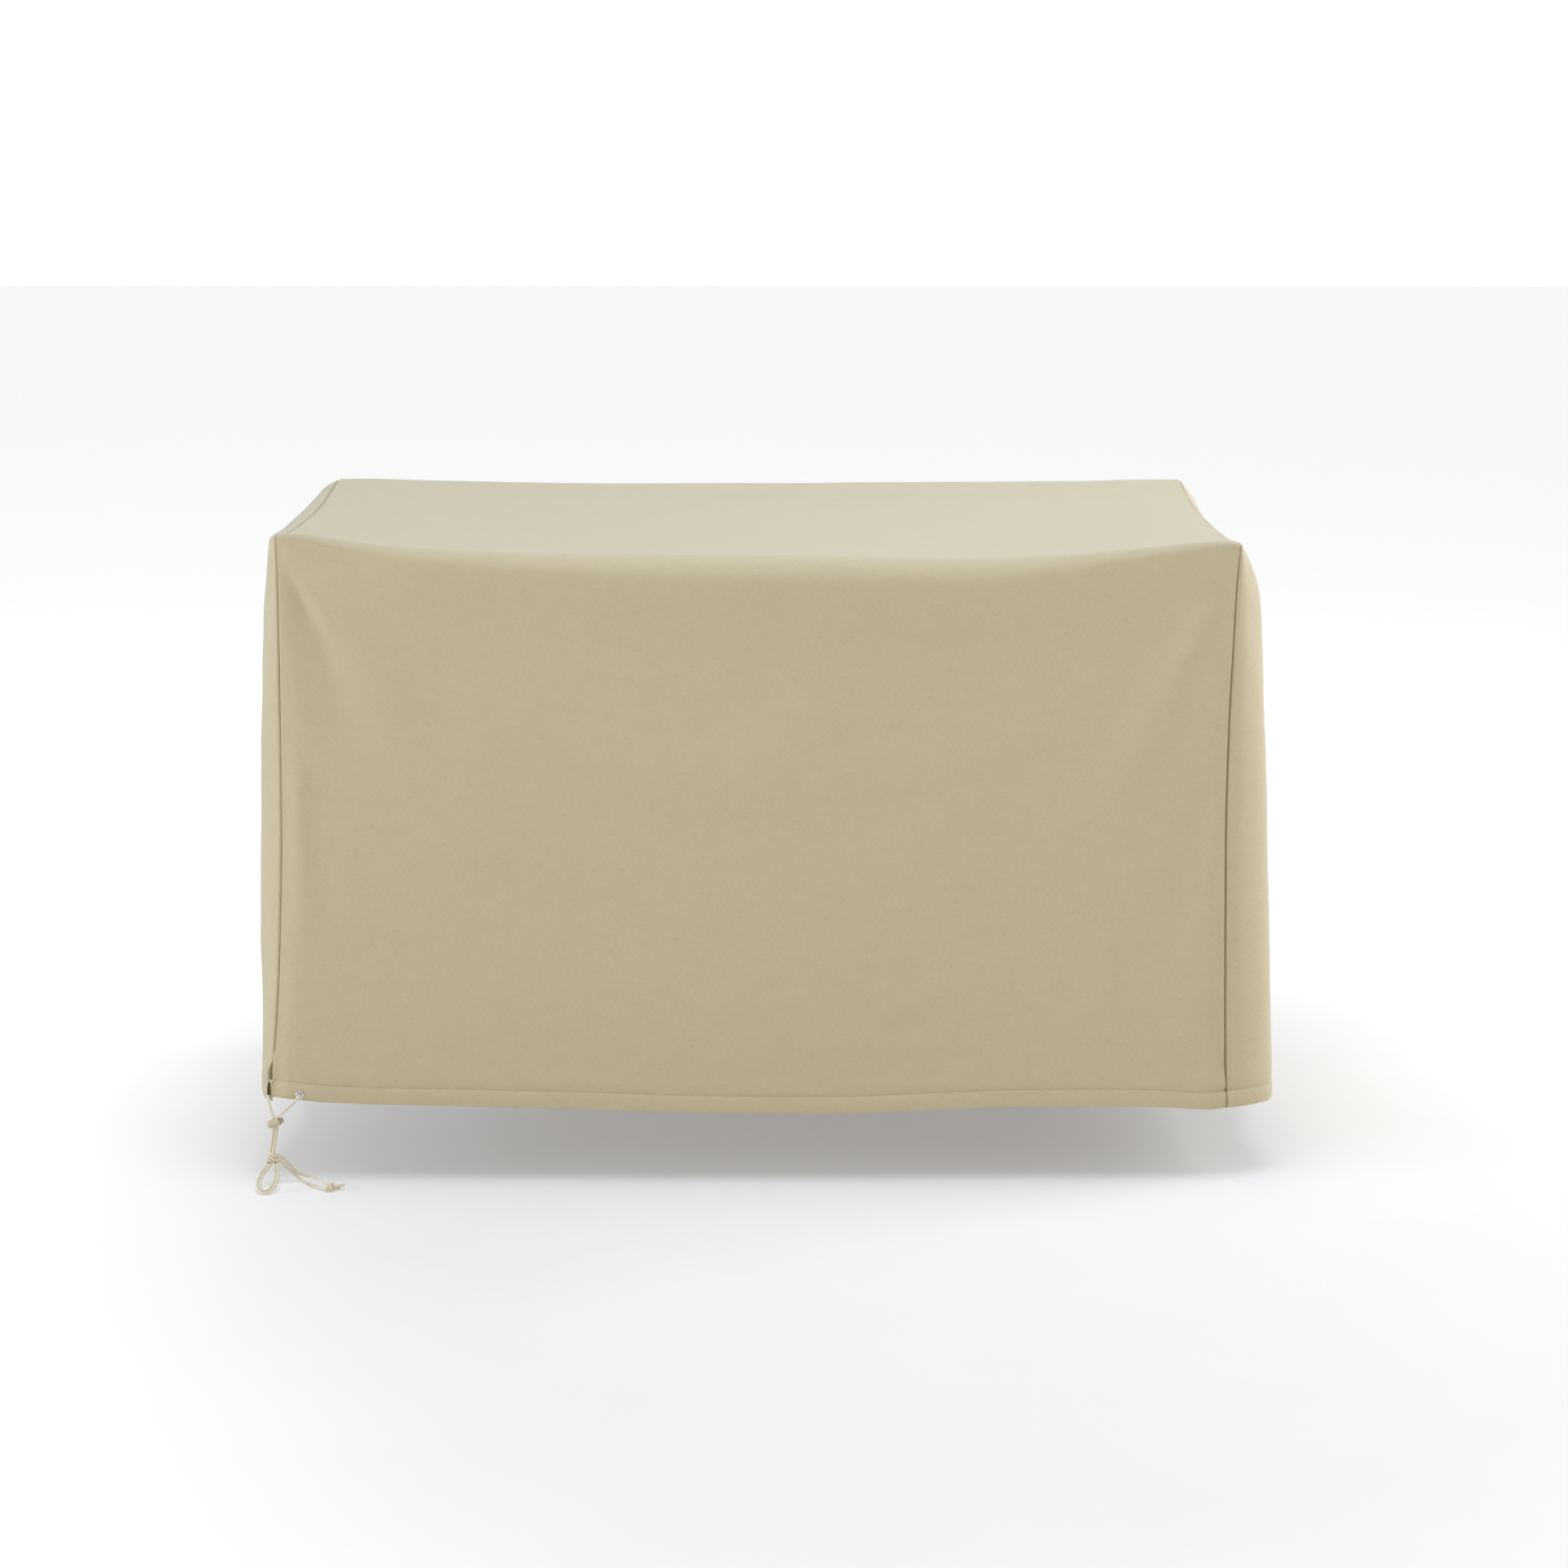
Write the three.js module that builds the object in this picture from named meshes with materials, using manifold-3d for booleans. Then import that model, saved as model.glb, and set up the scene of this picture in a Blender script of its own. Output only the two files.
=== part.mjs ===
// A loose, fitted, box-shaped outdoor cover for a storage box: one long cloth
// panel that makes the front, the top and the back, two end panels sewn to it,
// and a drawcord whose two ends hang, locked and knotted, at the left front
// corner. Millimetres, +Z up, +X to the right, +Y to the back. The origin is
// on the underside of the top cloth, at its centre.
import * as THREE from "three";
import { mergeVertices } from "three/addons/utils/BufferGeometryUtils.js";
import Module from "manifold-3d";

// ---------------------------------------------------------------- sizes
const CLOTH = 1.5;            // thickness of a single cloth
const HEM = 2.8;              // thickness where the hem is turned up
const HEM_HEIGHT = 25;        // height of the hem
const HEM_STEP = 2.5;         // height over which the hem's thickness ends
const LOW = 60;               // height above the hem's edge up to which rows keep real heights
const SEAM_GAP = 0.4;         // between two sewn edges
const SLIT_HEIGHT = 58;       // open slit at the bottom of the left front corner
const SLIT_OPENS = 24;        // height over which it opens
const SLIT_WIDTH = 7.5;       // how far the end panel's flap stands away there
const SLIT_DROP = 5;          // how much lower the flap hangs
const CORD = 4;               // diameter of the drawcord
const CORD_SIDES = 10;

const COLOUR = {
  cloth: 0xbfb295, side: 0xc8bca0, cord: 0xd9cfb4, metal: 0xb9bcc0, plastic: 0xb7a78a,
};

// ---------------------------------------------------------------- tables
// Front of the long panel, by station across the width: height of the top fold,
// its radius, how far forward the cloth stands there, the hem's edge and how
// far forward that is.
const FRONT = [
  { across: 0.000, fold: 32.0, round: 7, foldY: -383, hem: -758.6, hemY: -385 },
  { across: 0.020, fold: 33.0, round: 8, foldY: -384, hem: -760.3, hemY: -387 },
  { across: 0.055, fold: 26.5, round: 10, foldY: -384, hem: -765.0, hemY: -388 },
  { across: 0.100, fold: 18.8, round: 13, foldY: -383, hem: -767.9, hemY: -388 },
  { across: 0.180, fold: 10.8, round: 17, foldY: -381, hem: -770.0, hemY: -389 },
  { across: 0.300, fold: 4.4, round: 20, foldY: -379, hem: -773.3, hemY: -390 },
  { across: 0.440, fold: 2.6, round: 22, foldY: -378, hem: -778.8, hemY: -392 },
  { across: 0.580, fold: 0.8, round: 22, foldY: -377, hem: -780.8, hemY: -391 },
  { across: 0.720, fold: -1.2, round: 22, foldY: -378, hem: -774.6, hemY: -388 },
  { across: 0.810, fold: 3.0, round: 18, foldY: -380, hem: -771.6, hemY: -387 },
  { across: 0.890, fold: 11.6, round: 12, foldY: -382, hem: -771.6, hemY: -387 },
  { across: 0.935, fold: 17.6, round: 10, foldY: -383, hem: -773.0, hemY: -387 },
  { across: 0.980, fold: 22.0, round: 8, foldY: -384, hem: -776.3, hemY: -387 },
  { across: 1.000, fold: 20.5, round: 7, foldY: -383, hem: -774.8, hemY: -385 },
];
// The same for the back, where the cloth hangs plainly.
const BACK = [
  { across: 0.00, fold: 32.4, round: 7, foldY: 383, hem: -768.0, hemY: 387 },
  { across: 0.03, fold: 32.8, round: 8, foldY: 384, hem: -770.0, hemY: 389 },
  { across: 0.12, fold: 30.5, round: 10, foldY: 383, hem: -773.0, hemY: 391 },
  { across: 0.30, fold: 27.0, round: 14, foldY: 381, hem: -777.0, hemY: 393 },
  { across: 0.50, fold: 27.4, round: 15, foldY: 380, hem: -780.0, hemY: 392 },
  { across: 0.70, fold: 29.0, round: 14, foldY: 381, hem: -776.0, hemY: 390 },
  { across: 0.88, fold: 29.8, round: 10, foldY: 383, hem: -773.0, hemY: 389 },
  { across: 0.97, fold: 32.2, round: 8, foldY: 384, hem: -774.0, hemY: 389 },
  { across: 1.00, fold: 32.0, round: 7, foldY: 383, hem: -771.0, hemY: 387 },
];
// The four upright seams: how far out each lies, by height.
const UPRIGHT = [
  { z: -790, leftFront: -681.4, rightFront: 656.2, leftBack: -669, rightBack: 666 },
  { z: -740, leftFront: -680.8, rightFront: 655.0, leftBack: -668, rightBack: 665 },
  { z: -700, leftFront: -679.6, rightFront: 653.8, leftBack: -667, rightBack: 664 },
  { z: -655, leftFront: -675.5, rightFront: 652.5, leftBack: -665, rightBack: 662 },
  { z: -585, leftFront: -670.4, rightFront: 651.0, leftBack: -662, rightBack: 660 },
  { z: -478, leftFront: -665.3, rightFront: 649.2, leftBack: -658, rightBack: 657 },
  { z: -373, leftFront: -661.7, rightFront: 647.6, leftBack: -656, rightBack: 655 },
  { z: -233, leftFront: -660.0, rightFront: 648.6, leftBack: -655, rightBack: 654 },
  { z: -147, leftFront: -658.9, rightFront: 651.2, leftBack: -656, rightBack: 655 },
  { z: -50, leftFront: -658.6, rightFront: 654.8, leftBack: -658, rightBack: 657 },
  { z: 32, leftFront: -660.0, rightFront: 660.0, leftBack: -660, rightBack: 660 },
];
// The two seams along the top's ends: height and distance out, by depth.
const TOP_END = [
  { deep: 0.00, leftZ: 32.0, leftX: -660.0, rightZ: 20.5, rightX: 660.0 },
  { deep: 0.05, leftZ: 27.0, leftX: -659.4, rightZ: 18.4, rightX: 658.6 },
  { deep: 0.13, leftZ: 21.6, leftX: -659.0, rightZ: 14.2, rightX: 657.4 },
  { deep: 0.25, leftZ: 18.0, leftX: -659.0, rightZ: 11.4, rightX: 657.0 },
  { deep: 0.42, leftZ: 15.4, leftX: -659.4, rightZ: 9.8, rightX: 657.0 },
  { deep: 0.57, leftZ: 15.2, leftX: -659.8, rightZ: 10.0, rightX: 657.4 },
  { deep: 0.70, leftZ: 17.2, leftX: -660.0, rightZ: 12.2, rightX: 657.8 },
  { deep: 0.82, leftZ: 22.4, leftX: -660.0, rightZ: 17.0, rightX: 658.4 },
  { deep: 0.92, leftZ: 29.4, leftX: -660.0, rightZ: 24.6, rightX: 659.2 },
  { deep: 1.00, leftZ: 32.4, leftX: -660.0, rightZ: 32.0, rightX: 660.0 },
];
// How far the end panels stand out past their seams, by drop below the top
// seam, and how that builds up with the distance from an upright seam.
const STAND_OUT = [
  { drop: 0, left: 0, right: 0 },
  { drop: 2, left: 7, right: 1.6 },
  { drop: 5, left: 9.5, right: 5.2 },
  { drop: 15, left: 11, right: 14.8 },
  { drop: 35, left: 14, right: 25.5 },
  { drop: 70, left: 18.3, right: 37 },
  { drop: 120, left: 24.3, right: 45 },
  { drop: 190, left: 32, right: 53 },
  { drop: 290, left: 36.3, right: 60.4 },
  { drop: 420, left: 37.6, right: 66.2 },
  { drop: 560, left: 35.6, right: 69.7 },
  { drop: 670, left: 28, right: 71.7 },
  { drop: 740, left: 24, right: 72.4 },
  { drop: 800, left: 24, right: 71 },
];
// How much farther the left end panel stands out close under its top seam, by
// depth: it swells out over the seam there and sinks back lower down.
const SHOULDER = [
  { deep: 0.00, out: 0 },
  { deep: 0.06, out: 4.5 },
  { deep: 0.14, out: 12 },
  { deep: 0.24, out: 15.5 },
  { deep: 0.36, out: 17 },
  { deep: 0.48, out: 17.5 },
  { deep: 0.60, out: 17 },
  { deep: 0.72, out: 14.5 },
  { deep: 0.84, out: 9.5 },
  { deep: 0.94, out: 4.5 },
  { deep: 1.00, out: 0 },
];
const SHOULDER_TURNS = 2.2;   // drop over which it swells out
const SHOULDER_ENDS = 240;    // drop at which it has sunk back
const BUILD_UP = [
  { from: 0, left: 0.00, right: 0.00 },
  { from: 7, left: 0.20, right: 0.29 },
  { from: 16, left: 0.42, right: 0.51 },
  { from: 28, left: 0.64, right: 0.74 },
  { from: 46, left: 0.86, right: 0.93 },
  { from: 75, left: 0.98, right: 1.00 },
  { from: 130, left: 1.00, right: 0.98 },
  { from: 260, left: 0.86, right: 0.88 },
  { from: 400, left: 0.80, right: 0.84 },
];
// Main soft folds of the front: from one point to another (x, z), height of the
// fold (below zero is a trough) and its half width at the two ends.
const FRONT_FOLDS = [
  { x0: -655, z0: 5, x1: -530, z1: -320, high: -6.0, wide0: 8, wide1: 30 },
  { x0: -640, z0: 10, x1: -450, z1: -250, high: 4.5, wide0: 8, wide1: 34 },
  { x0: 652, z0: 4, x1: 420, z1: -480, high: 5.0, wide0: 7, wide1: 32 },
  { x0: 640, z0: -250, x1: 560, z1: -620, high: -3.0, wide0: 14, wide1: 30 },
  { x0: -420, z0: -420, x1: -120, z1: -560, high: -3.0, wide0: 26, wide1: 30 },
  { x0: 120, z0: -180, x1: -60, z1: -330, high: 2.5, wide0: 30, wide1: 34 },
];
// Soft upright folds of the end panels: where they lie from front to back at
// the top and at the bottom, height and half width.
const END_FOLDS = [
  { side: "left", top: 0.30, bottom: 0.36, high: -8, wide: 0.07 },
  { side: "left", top: 0.55, bottom: 0.62, high: 7, wide: 0.08 },
  { side: "left", top: 0.76, bottom: 0.72, high: -6, wide: 0.06 },
  { side: "right", top: 0.26, bottom: 0.22, high: -7, wide: 0.06 },
  { side: "right", top: 0.48, bottom: 0.44, high: 6, wide: 0.08 },
  { side: "right", top: 0.74, bottom: 0.80, high: -8, wide: 0.07 },
];
// Edge of the end panels' hems, by depth.
const END_HEM = [
  { deep: 0.00, left: 0, right: 0 },
  { deep: 0.03, left: 1.5, right: 0 },
  { deep: 0.06, left: 3, right: -0.5 },
  { deep: 0.25, left: -2, right: 1 },
  { deep: 0.50, left: -5, right: 0 },
  { deep: 0.75, left: -4, right: -2 },
  { deep: 1.00, left: 0, right: 0 },
];
// Stations of the cloth's facets.
const ACROSS = [0, 0.012, 0.045, 0.075, 0.11, 0.15, 0.195, 0.24, 0.29, 0.34, 0.39,
  0.44, 0.49, 0.54, 0.59, 0.64, 0.69, 0.74, 0.79, 0.84, 0.885, 0.925, 0.96, 0.985, 1];
const RISE = [0, HEM_HEIGHT, HEM_HEIGHT + HEM_STEP, 38, 48, SLIT_HEIGHT].map((h) => h * 0.1 / LOW)
  .concat([0.18, 0.28, 0.38, 0.48, 0.58, 0.68, 0.77, 0.85, 0.91, 0.96, 1]);
const FOLD_STEPS = 4;
const DEEP = [0, 0.02, 0.05, 0.095, 0.16, 0.26, 0.38, 0.5, 0.62, 0.74, 0.84, 0.905, 0.95, 0.98, 1];

// ---------------------------------------------------------------- reading the tables
// A smooth value between rows, without overshoot.
function read(table, by, column, at) {
  const last = table.length - 1;
  const up = table[last][by] > table[0][by] ? 1 : -1;
  if ((at - table[0][by]) * up <= 0) return table[0][column];
  if ((at - table[last][by]) * up >= 0) return table[last][column];
  let i = 0;
  while ((at - table[i + 1][by]) * up > 0) i += 1;
  const rise = (k) => (table[k + 1][column] - table[k][column]) / (table[k + 1][by] - table[k][by]);
  const slope = (k) => {
    if (k === 0) return rise(0);
    if (k === last) return rise(last - 1);
    const a = rise(k - 1);
    const b = rise(k);
    return a * b <= 0 ? 0 : (2 * a * b) / (a + b);
  };
  const h = table[i + 1][by] - table[i][by];
  const s = (at - table[i][by]) / h;
  const s2 = s * s;
  const s3 = s2 * s;
  return (2 * s3 - 3 * s2 + 1) * table[i][column] + (s3 - 2 * s2 + s) * h * slope(i)
    + (3 * s2 - 2 * s3) * table[i + 1][column] + (s3 - s2) * h * slope(i + 1);
}
const mix = (a, b, s) => a + (b - a) * s;
const smooth = (s) => { const k = Math.min(1, Math.max(0, s)); return k * k * (3 - 2 * k); };
const bell = (s) => Math.exp(-0.5 * s * s);

// ---------------------------------------------------------------- the long panel
// t runs 0..1 up the front, 1..2 round its fold, 2..3 over the top, 3..4 round
// the back fold and 4..5 down the back.
function frontFolds(x, z) {
  let out = 0;
  for (const f of FRONT_FOLDS) {
    const dx = f.x1 - f.x0;
    const dz = f.z1 - f.z0;
    const run = dx * dx + dz * dz;
    const s = ((x - f.x0) * dx + (z - f.z0) * dz) / run;
    if (s <= 0 || s >= 1) continue;
    const off = ((x - f.x0) * dz - (z - f.z0) * dx) / Math.sqrt(run);
    out += f.high * bell(off / mix(f.wide0, f.wide1, s)) * smooth(s / 0.25) * smooth((1 - s) / 0.45);
  }
  return out;
}
function drop(table, across, t, sign) {
  const fold = read(table, "across", "fold", across);
  const round = read(table, "across", "round", across);
  const foldY = read(table, "across", "foldY", across);
  const hem = read(table, "across", "hem", across);
  const hemY = read(table, "across", "hemY", across);
  // a wide fold falls further down the panel than it reaches over the top
  const fall = round * (1 + (round - 7) / 30);
  const height = fold - fall - hem;
  const rise = t <= 0.1 ? (t / 0.1) * LOW : mix(LOW, height, (t - 0.1) / 0.9);
  const z = hem + rise;
  const left = read(UPRIGHT, "z", sign < 0 ? "leftFront" : "leftBack", z);
  const right = read(UPRIGHT, "z", sign < 0 ? "rightFront" : "rightBack", z);
  const x = mix(left, right, across);
  let y = mix(hemY, foldY, smooth(rise / height));
  // beside the two upright seams the cloth turns back a little
  const edge = Math.min(across, 1 - across) * (right - left);
  const turn = (across < 0.5 ? 5 : 3) * smooth((-z - 120) / 260);
  y -= sign * turn * (1 - smooth(edge / 24));
  if (sign < 0) y -= frontFolds(x, z) * smooth(edge / 30) * smooth((rise - 70) / 60);
  return { x, y, z, fold, round, foldY };
}
function topZ(across, deep) {
  const f0 = FRONT[0].fold;
  const f1 = FRONT[FRONT.length - 1].fold;
  const b0 = BACK[0].fold;
  const b1 = BACK[BACK.length - 1].fold;
  return mix(read(FRONT, "across", "fold", across), read(BACK, "across", "fold", across), deep)
    + mix(read(TOP_END, "deep", "leftZ", deep), read(TOP_END, "deep", "rightZ", deep), across)
    - mix(mix(f0, f1, across), mix(b0, b1, across), deep);
}
const LIFT = CLOTH / 2 - topZ(0.5, 0.5);      // the top's centre lies just over the origin
function top(across, deep) {
  const yFront = read(FRONT, "across", "foldY", across) + read(FRONT, "across", "round", across);
  const yBack = read(BACK, "across", "foldY", across) - read(BACK, "across", "round", across);
  const left = read(TOP_END, "deep", "leftX", deep);
  const right = read(TOP_END, "deep", "rightX", deep);
  return {
    x: mix(left, right, across),
    y: mix(yFront, yBack, deep),
    z: topZ(across, deep) + LIFT * 16 * across * (1 - across) * deep * (1 - deep),
  };
}
function wrap(across, t) {
  let p;
  if (t <= 1) p = drop(FRONT, across, t, -1);
  else if (t >= 4) p = drop(BACK, across, 5 - t, 1);
  else if (t >= 2 && t <= 3) p = top(across, t - 2);
  else {
    const front = t < 2;
    const end = front ? drop(FRONT, across, 1, -1) : drop(BACK, across, 1, 1);
    const flat = front ? top(across, 0) : top(across, 1);
    const turn = (front ? t - 1 : 4 - t) * Math.PI / 2;
    p = {
      x: mix(end.x, flat.x, Math.sin(turn)),
      y: mix(end.y, flat.y, 1 - Math.cos(turn)),
      z: mix(end.z, flat.z, Math.sin(turn)),
    };
  }
  return new THREE.Vector3(p.x, p.y, p.z);
}

// ---------------------------------------------------------------- the end panels
// q runs 0..1 from the front seam to the back seam, t 0..1.5 from the hem to
// the top seam, in step with the long panel's t.
function endPanel(side, q, t) {
  const across = side === "left" ? 0 : 1;
  const out = side === "left" ? -1 : 1;
  const front = wrap(across, t);
  const back = wrap(across, 5 - t);
  const over = wrap(across, 1.5 + 2 * q);
  const frontTop = wrap(across, 1.5);
  const backTop = wrap(across, 3.5);
  const frontHem = wrap(across, 0);
  const backHem = wrap(across, 5);
  const deep = (over.y - frontTop.y) / (backTop.y - frontTop.y);
  const high = (front.z - frontHem.z) / (frontTop.z - frontHem.z);
  const under = frontHem.clone().lerp(backHem, deep);
  under.z += read(END_HEM, "deep", side, deep);
  const p = front.clone().lerp(back, deep)
    .add(under.clone().lerp(over, high))
    .sub(frontHem.clone().lerp(backHem, deep).lerp(frontTop.clone().lerp(backTop, deep), high));
  const fromFront = deep * (backTop.y - frontTop.y);
  const fromBack = (1 - deep) * (backTop.y - frontTop.y);
  const below = over.z - p.z;
  p.x += out * read(STAND_OUT, "drop", side, below)
    * read(BUILD_UP, "from", side, Math.min(fromFront, fromBack));
  if (side === "left") {
    p.x -= read(SHOULDER, "deep", "out", deep) * (1 - Math.exp(-Math.max(0, below) / SHOULDER_TURNS))
      * (1 - smooth(below / SHOULDER_ENDS));
  }
  for (const f of END_FOLDS) {
    if (f.side !== side) continue;
    const at = mix(f.bottom, f.top, high);
    p.x += out * f.high * bell((deep - at) / f.wide) * smooth(below / 260)
      * smooth(fromFront / 90) * smooth(fromBack / 90);
  }
  // the flap beside the slit
  if (side === "left") {
    const up = p.z - frontHem.z;
    const open = smooth((SLIT_HEIGHT - up) / SLIT_OPENS) * (1 - smooth(fromFront / 45));
    p.x -= SLIT_WIDTH * open;
    p.y += 3 * open;
    p.z -= SLIT_DROP * open * (1 - smooth(up / SLIT_HEIGHT));
  }
  return p;
}

// ---------------------------------------------------------------- cloth solids
// A box is drawn out along the stations: its front face becomes the outside of
// the cloth and its back face the inside.
function normals(grid) {
  const rows = grid.length;
  const cols = grid[0].length;
  const at = (r, c) => grid[Math.min(rows - 1, Math.max(0, r))][Math.min(cols - 1, Math.max(0, c))];
  return grid.map((row, r) => row.map((p, c) => {
    const along = at(r, c + 1).clone().sub(at(r, c - 1)).normalize();
    const up = at(r + 1, c).clone().sub(at(r - 1, c)).normalize();
    return along.cross(up).normalize();
  }));
}
function thick(rise) {
  return rise <= HEM_HEIGHT + 0.01 ? HEM : CLOTH;
}
function clothSolid(outer, inner) {
  const rows = outer.length - 1;
  const cols = outer[0].length - 1;
  const box = new THREE.BoxGeometry(1, 1, 1, cols, rows, 1);
  box.deleteAttribute("normal");
  box.deleteAttribute("uv");
  const geometry = mergeVertices(box, 1e-5);
  const pos = geometry.attributes.position;
  for (let i = 0; i < pos.count; i += 1) {
    const c = Math.round((pos.getX(i) + 0.5) * cols);
    const r = Math.round((pos.getY(i) + 0.5) * rows);
    const p = (pos.getZ(i) > 0 ? outer : inner)[r][c];
    pos.setXYZ(i, p.x, p.y, p.z);
  }
  geometry.computeVertexNormals();
  return geometry;
}

const wrapT = RISE.slice()
  .concat(Array.from({ length: FOLD_STEPS - 1 }, (_, k) => 1 + (k + 1) / FOLD_STEPS))
  .concat(DEEP.map((d) => 2 + d))
  .concat(Array.from({ length: FOLD_STEPS - 1 }, (_, k) => 3 + (k + 1) / FOLD_STEPS))
  .concat(RISE.slice().reverse().map((t) => 5 - t));
const endT = wrapT.filter((t) => t <= 1.5);
const endQ = wrapT.filter((t) => t >= 1.5 && t <= 3.5).map((t) => (t - 1.5) / 2);

const riseOf = (t) => { const s = Math.min(t, 5 - t); return s <= 0.1 ? s / 0.1 * LOW : 999; };

const wrapGrid = wrapT.map((t) => ACROSS.map((a) => wrap(a, t)));
const wrapNormal = normals(wrapGrid);

// end grids: columns run so that the outside faces away from the hollow
const endGrid = {
  left: endT.map((t) => endQ.slice().reverse().map((q) => endPanel("left", q, t))),
  right: endT.map((t) => endQ.map((q) => endPanel("right", q, t))),
};
const endNormal = { left: normals(endGrid.left), right: normals(endGrid.right) };

function offset(grid, normal, rise) {
  const outer = grid.map((row, r) => row.map((p, c) => p.clone().addScaledVector(normal[r][c], thick(rise(r)) / 2)));
  const inner = grid.map((row, r) => row.map((p, c) => p.clone().addScaledVector(normal[r][c], -thick(rise(r)) / 2)));
  return { outer, inner };
}
const wrapFace = offset(wrapGrid, wrapNormal, (r) => riseOf(wrapT[r]));
const endFace = {
  left: offset(endGrid.left, endNormal.left, (r) => riseOf(endT[r])),
  right: offset(endGrid.right, endNormal.right, (r) => riseOf(endT[r])),
};

// Sewn edges are mitred: both cloths end on the plane that halves their angle.
for (const side of ["left", "right"]) {
  const wrapCol = side === "left" ? 0 : ACROSS.length - 1;
  const rows = endT.length;
  const cols = endQ.length;
  for (let k = 0; k < wrapT.length; k += 1) {
    const t = wrapT[k];
    let r;
    let c;
    if (t <= 1.5) { r = k; c = side === "left" ? cols - 1 : 0; }
    else if (t >= 3.5) { r = wrapT.length - 1 - k; c = side === "left" ? 0 : cols - 1; }
    else { r = rows - 1; c = side === "left" ? cols - 1 - (k - (rows - 1)) : k - (rows - 1); }
    const slit = side === "left" && t <= 1 && riseOf(t) < SLIT_HEIGHT - 1;
    const seam = wrapGrid[k][wrapCol];
    const next = wrapGrid[Math.min(k + 1, wrapT.length - 1)][wrapCol];
    const before = wrapGrid[Math.max(k - 1, 0)][wrapCol];
    const along = next.clone().sub(before).normalize();
    const nw = wrapNormal[k][wrapCol];
    const ne = endNormal[side][r][c];
    const b = nw.clone().add(ne);
    b.addScaledVector(along, -b.dot(along)).normalize();
    const half = thick(riseOf(t)) / 2;
    const len = Math.min(half / Math.max(0.55, b.dot(nw)), half * 1.6);
    const across = along.clone().cross(b).normalize();
    const inward = side === "left" ? endGrid[side][Math.max(0, r - (t > 1.5 && t < 3.5 ? 1 : 0))][t <= 1.5 ? c - 1 : (t >= 3.5 ? c + 1 : c)]
      : endGrid[side][Math.max(0, r - (t > 1.5 && t < 3.5 ? 1 : 0))][t <= 1.5 ? c + 1 : (t >= 3.5 ? c - 1 : c)];
    if (across.dot(inward.clone().sub(seam)) < 0) across.negate();
    if (!slit) {
      wrapFace.outer[k][wrapCol] = seam.clone().addScaledVector(b, len).addScaledVector(across, -SEAM_GAP / 2);
      wrapFace.inner[k][wrapCol] = seam.clone().addScaledVector(b, -len).addScaledVector(across, -SEAM_GAP / 2);
      endFace[side].outer[r][c] = seam.clone().addScaledVector(b, len).addScaledVector(across, SEAM_GAP / 2);
      endFace[side].inner[r][c] = seam.clone().addScaledVector(b, -len).addScaledVector(across, SEAM_GAP / 2);
    }
  }
}

// ---------------------------------------------------------------- manifold helpers
const wasm = await Module();
wasm.setup();
function solid(geometry) {
  const g = geometry.index ? geometry.clone() : geometry;
  g.deleteAttribute("normal");
  g.deleteAttribute("uv");
  const merged = mergeVertices(g, 1e-4);
  return new wasm.Manifold(new wasm.Mesh({
    numProp: 3,
    vertProperties: new Float32Array(merged.attributes.position.array),
    triVerts: new Uint32Array(merged.index.array),
  }));
}
function geometryOf(manifold) {
  const mesh = manifold.getMesh();
  const geometry = new THREE.BufferGeometry();
  geometry.setAttribute("position", new THREE.BufferAttribute(new Float32Array(mesh.vertProperties), 3));
  geometry.setIndex(Array.from(mesh.triVerts));
  geometry.computeVertexNormals();
  return geometry;
}

const group = new THREE.Group();
function add(name, geometry, colour, roughness, metalness) {
  const material = new THREE.MeshStandardMaterial({ color: colour, roughness, metalness });
  const mesh = new THREE.Mesh(geometry, material);
  mesh.name = name;
  group.add(mesh);
  return mesh;
}

// ---------------------------------------------------------------- front eyelet
const EYELET = { x: -643.4, z: -753.4, hole: 5.4, bore: 7, flange: 12, lip: 1.0, gap: 0.3 };
// where it sits in the front's hem
const eyeletCell = (() => {
  const c0 = ACROSS.findIndex((a, i) => wrapGrid[0][i].x <= EYELET.x && wrapGrid[0][i + 1].x > EYELET.x);
  const s = (EYELET.x - wrapGrid[0][c0].x) / (wrapGrid[0][c0 + 1].x - wrapGrid[0][c0].x);
  const low = wrapGrid[0][c0].clone().lerp(wrapGrid[0][c0 + 1], s);
  const high = wrapGrid[1][c0].clone().lerp(wrapGrid[1][c0 + 1], s);
  const centre = low.clone().lerp(high, (EYELET.z - low.z) / (high.z - low.z));
  const along = wrapGrid[0][c0 + 1].clone().sub(wrapGrid[0][c0]).add(wrapGrid[1][c0 + 1]).sub(wrapGrid[1][c0]);
  const up = high.clone().sub(low);
  return { centre, facing: along.cross(up).normalize() };
})();
const eyeletTurn = new THREE.Quaternion().setFromUnitVectors(new THREE.Vector3(0, 1, 0), eyeletCell.facing);
const eyeletHole = new THREE.CylinderGeometry(EYELET.bore / 2 + EYELET.gap, EYELET.bore / 2 + EYELET.gap, 12, 16);
eyeletHole.applyQuaternion(eyeletTurn).translate(eyeletCell.centre.x, eyeletCell.centre.y, eyeletCell.centre.z);
const half = HEM / 2 + EYELET.gap + 0.1;
const eyeletSection = [
  [EYELET.hole / 2, -half - 0.2], [EYELET.hole / 2 + 0.5, -half - EYELET.lip], [EYELET.flange / 2 - 1.2, -half - EYELET.lip],
  [EYELET.flange / 2 - 0.6, -half], [EYELET.bore / 2, -half], [EYELET.bore / 2, half],
  [EYELET.flange / 2, half], [EYELET.flange / 2 - 0.4, half + EYELET.lip * 0.7], [EYELET.flange / 2 - 1.4, half + EYELET.lip],
  [EYELET.hole / 2 + 0.7, half + EYELET.lip * 0.8], [EYELET.hole / 2, half + 0.1], [EYELET.hole / 2, -half - 0.2],
].map(([r, y]) => new THREE.Vector2(r, y));
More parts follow.
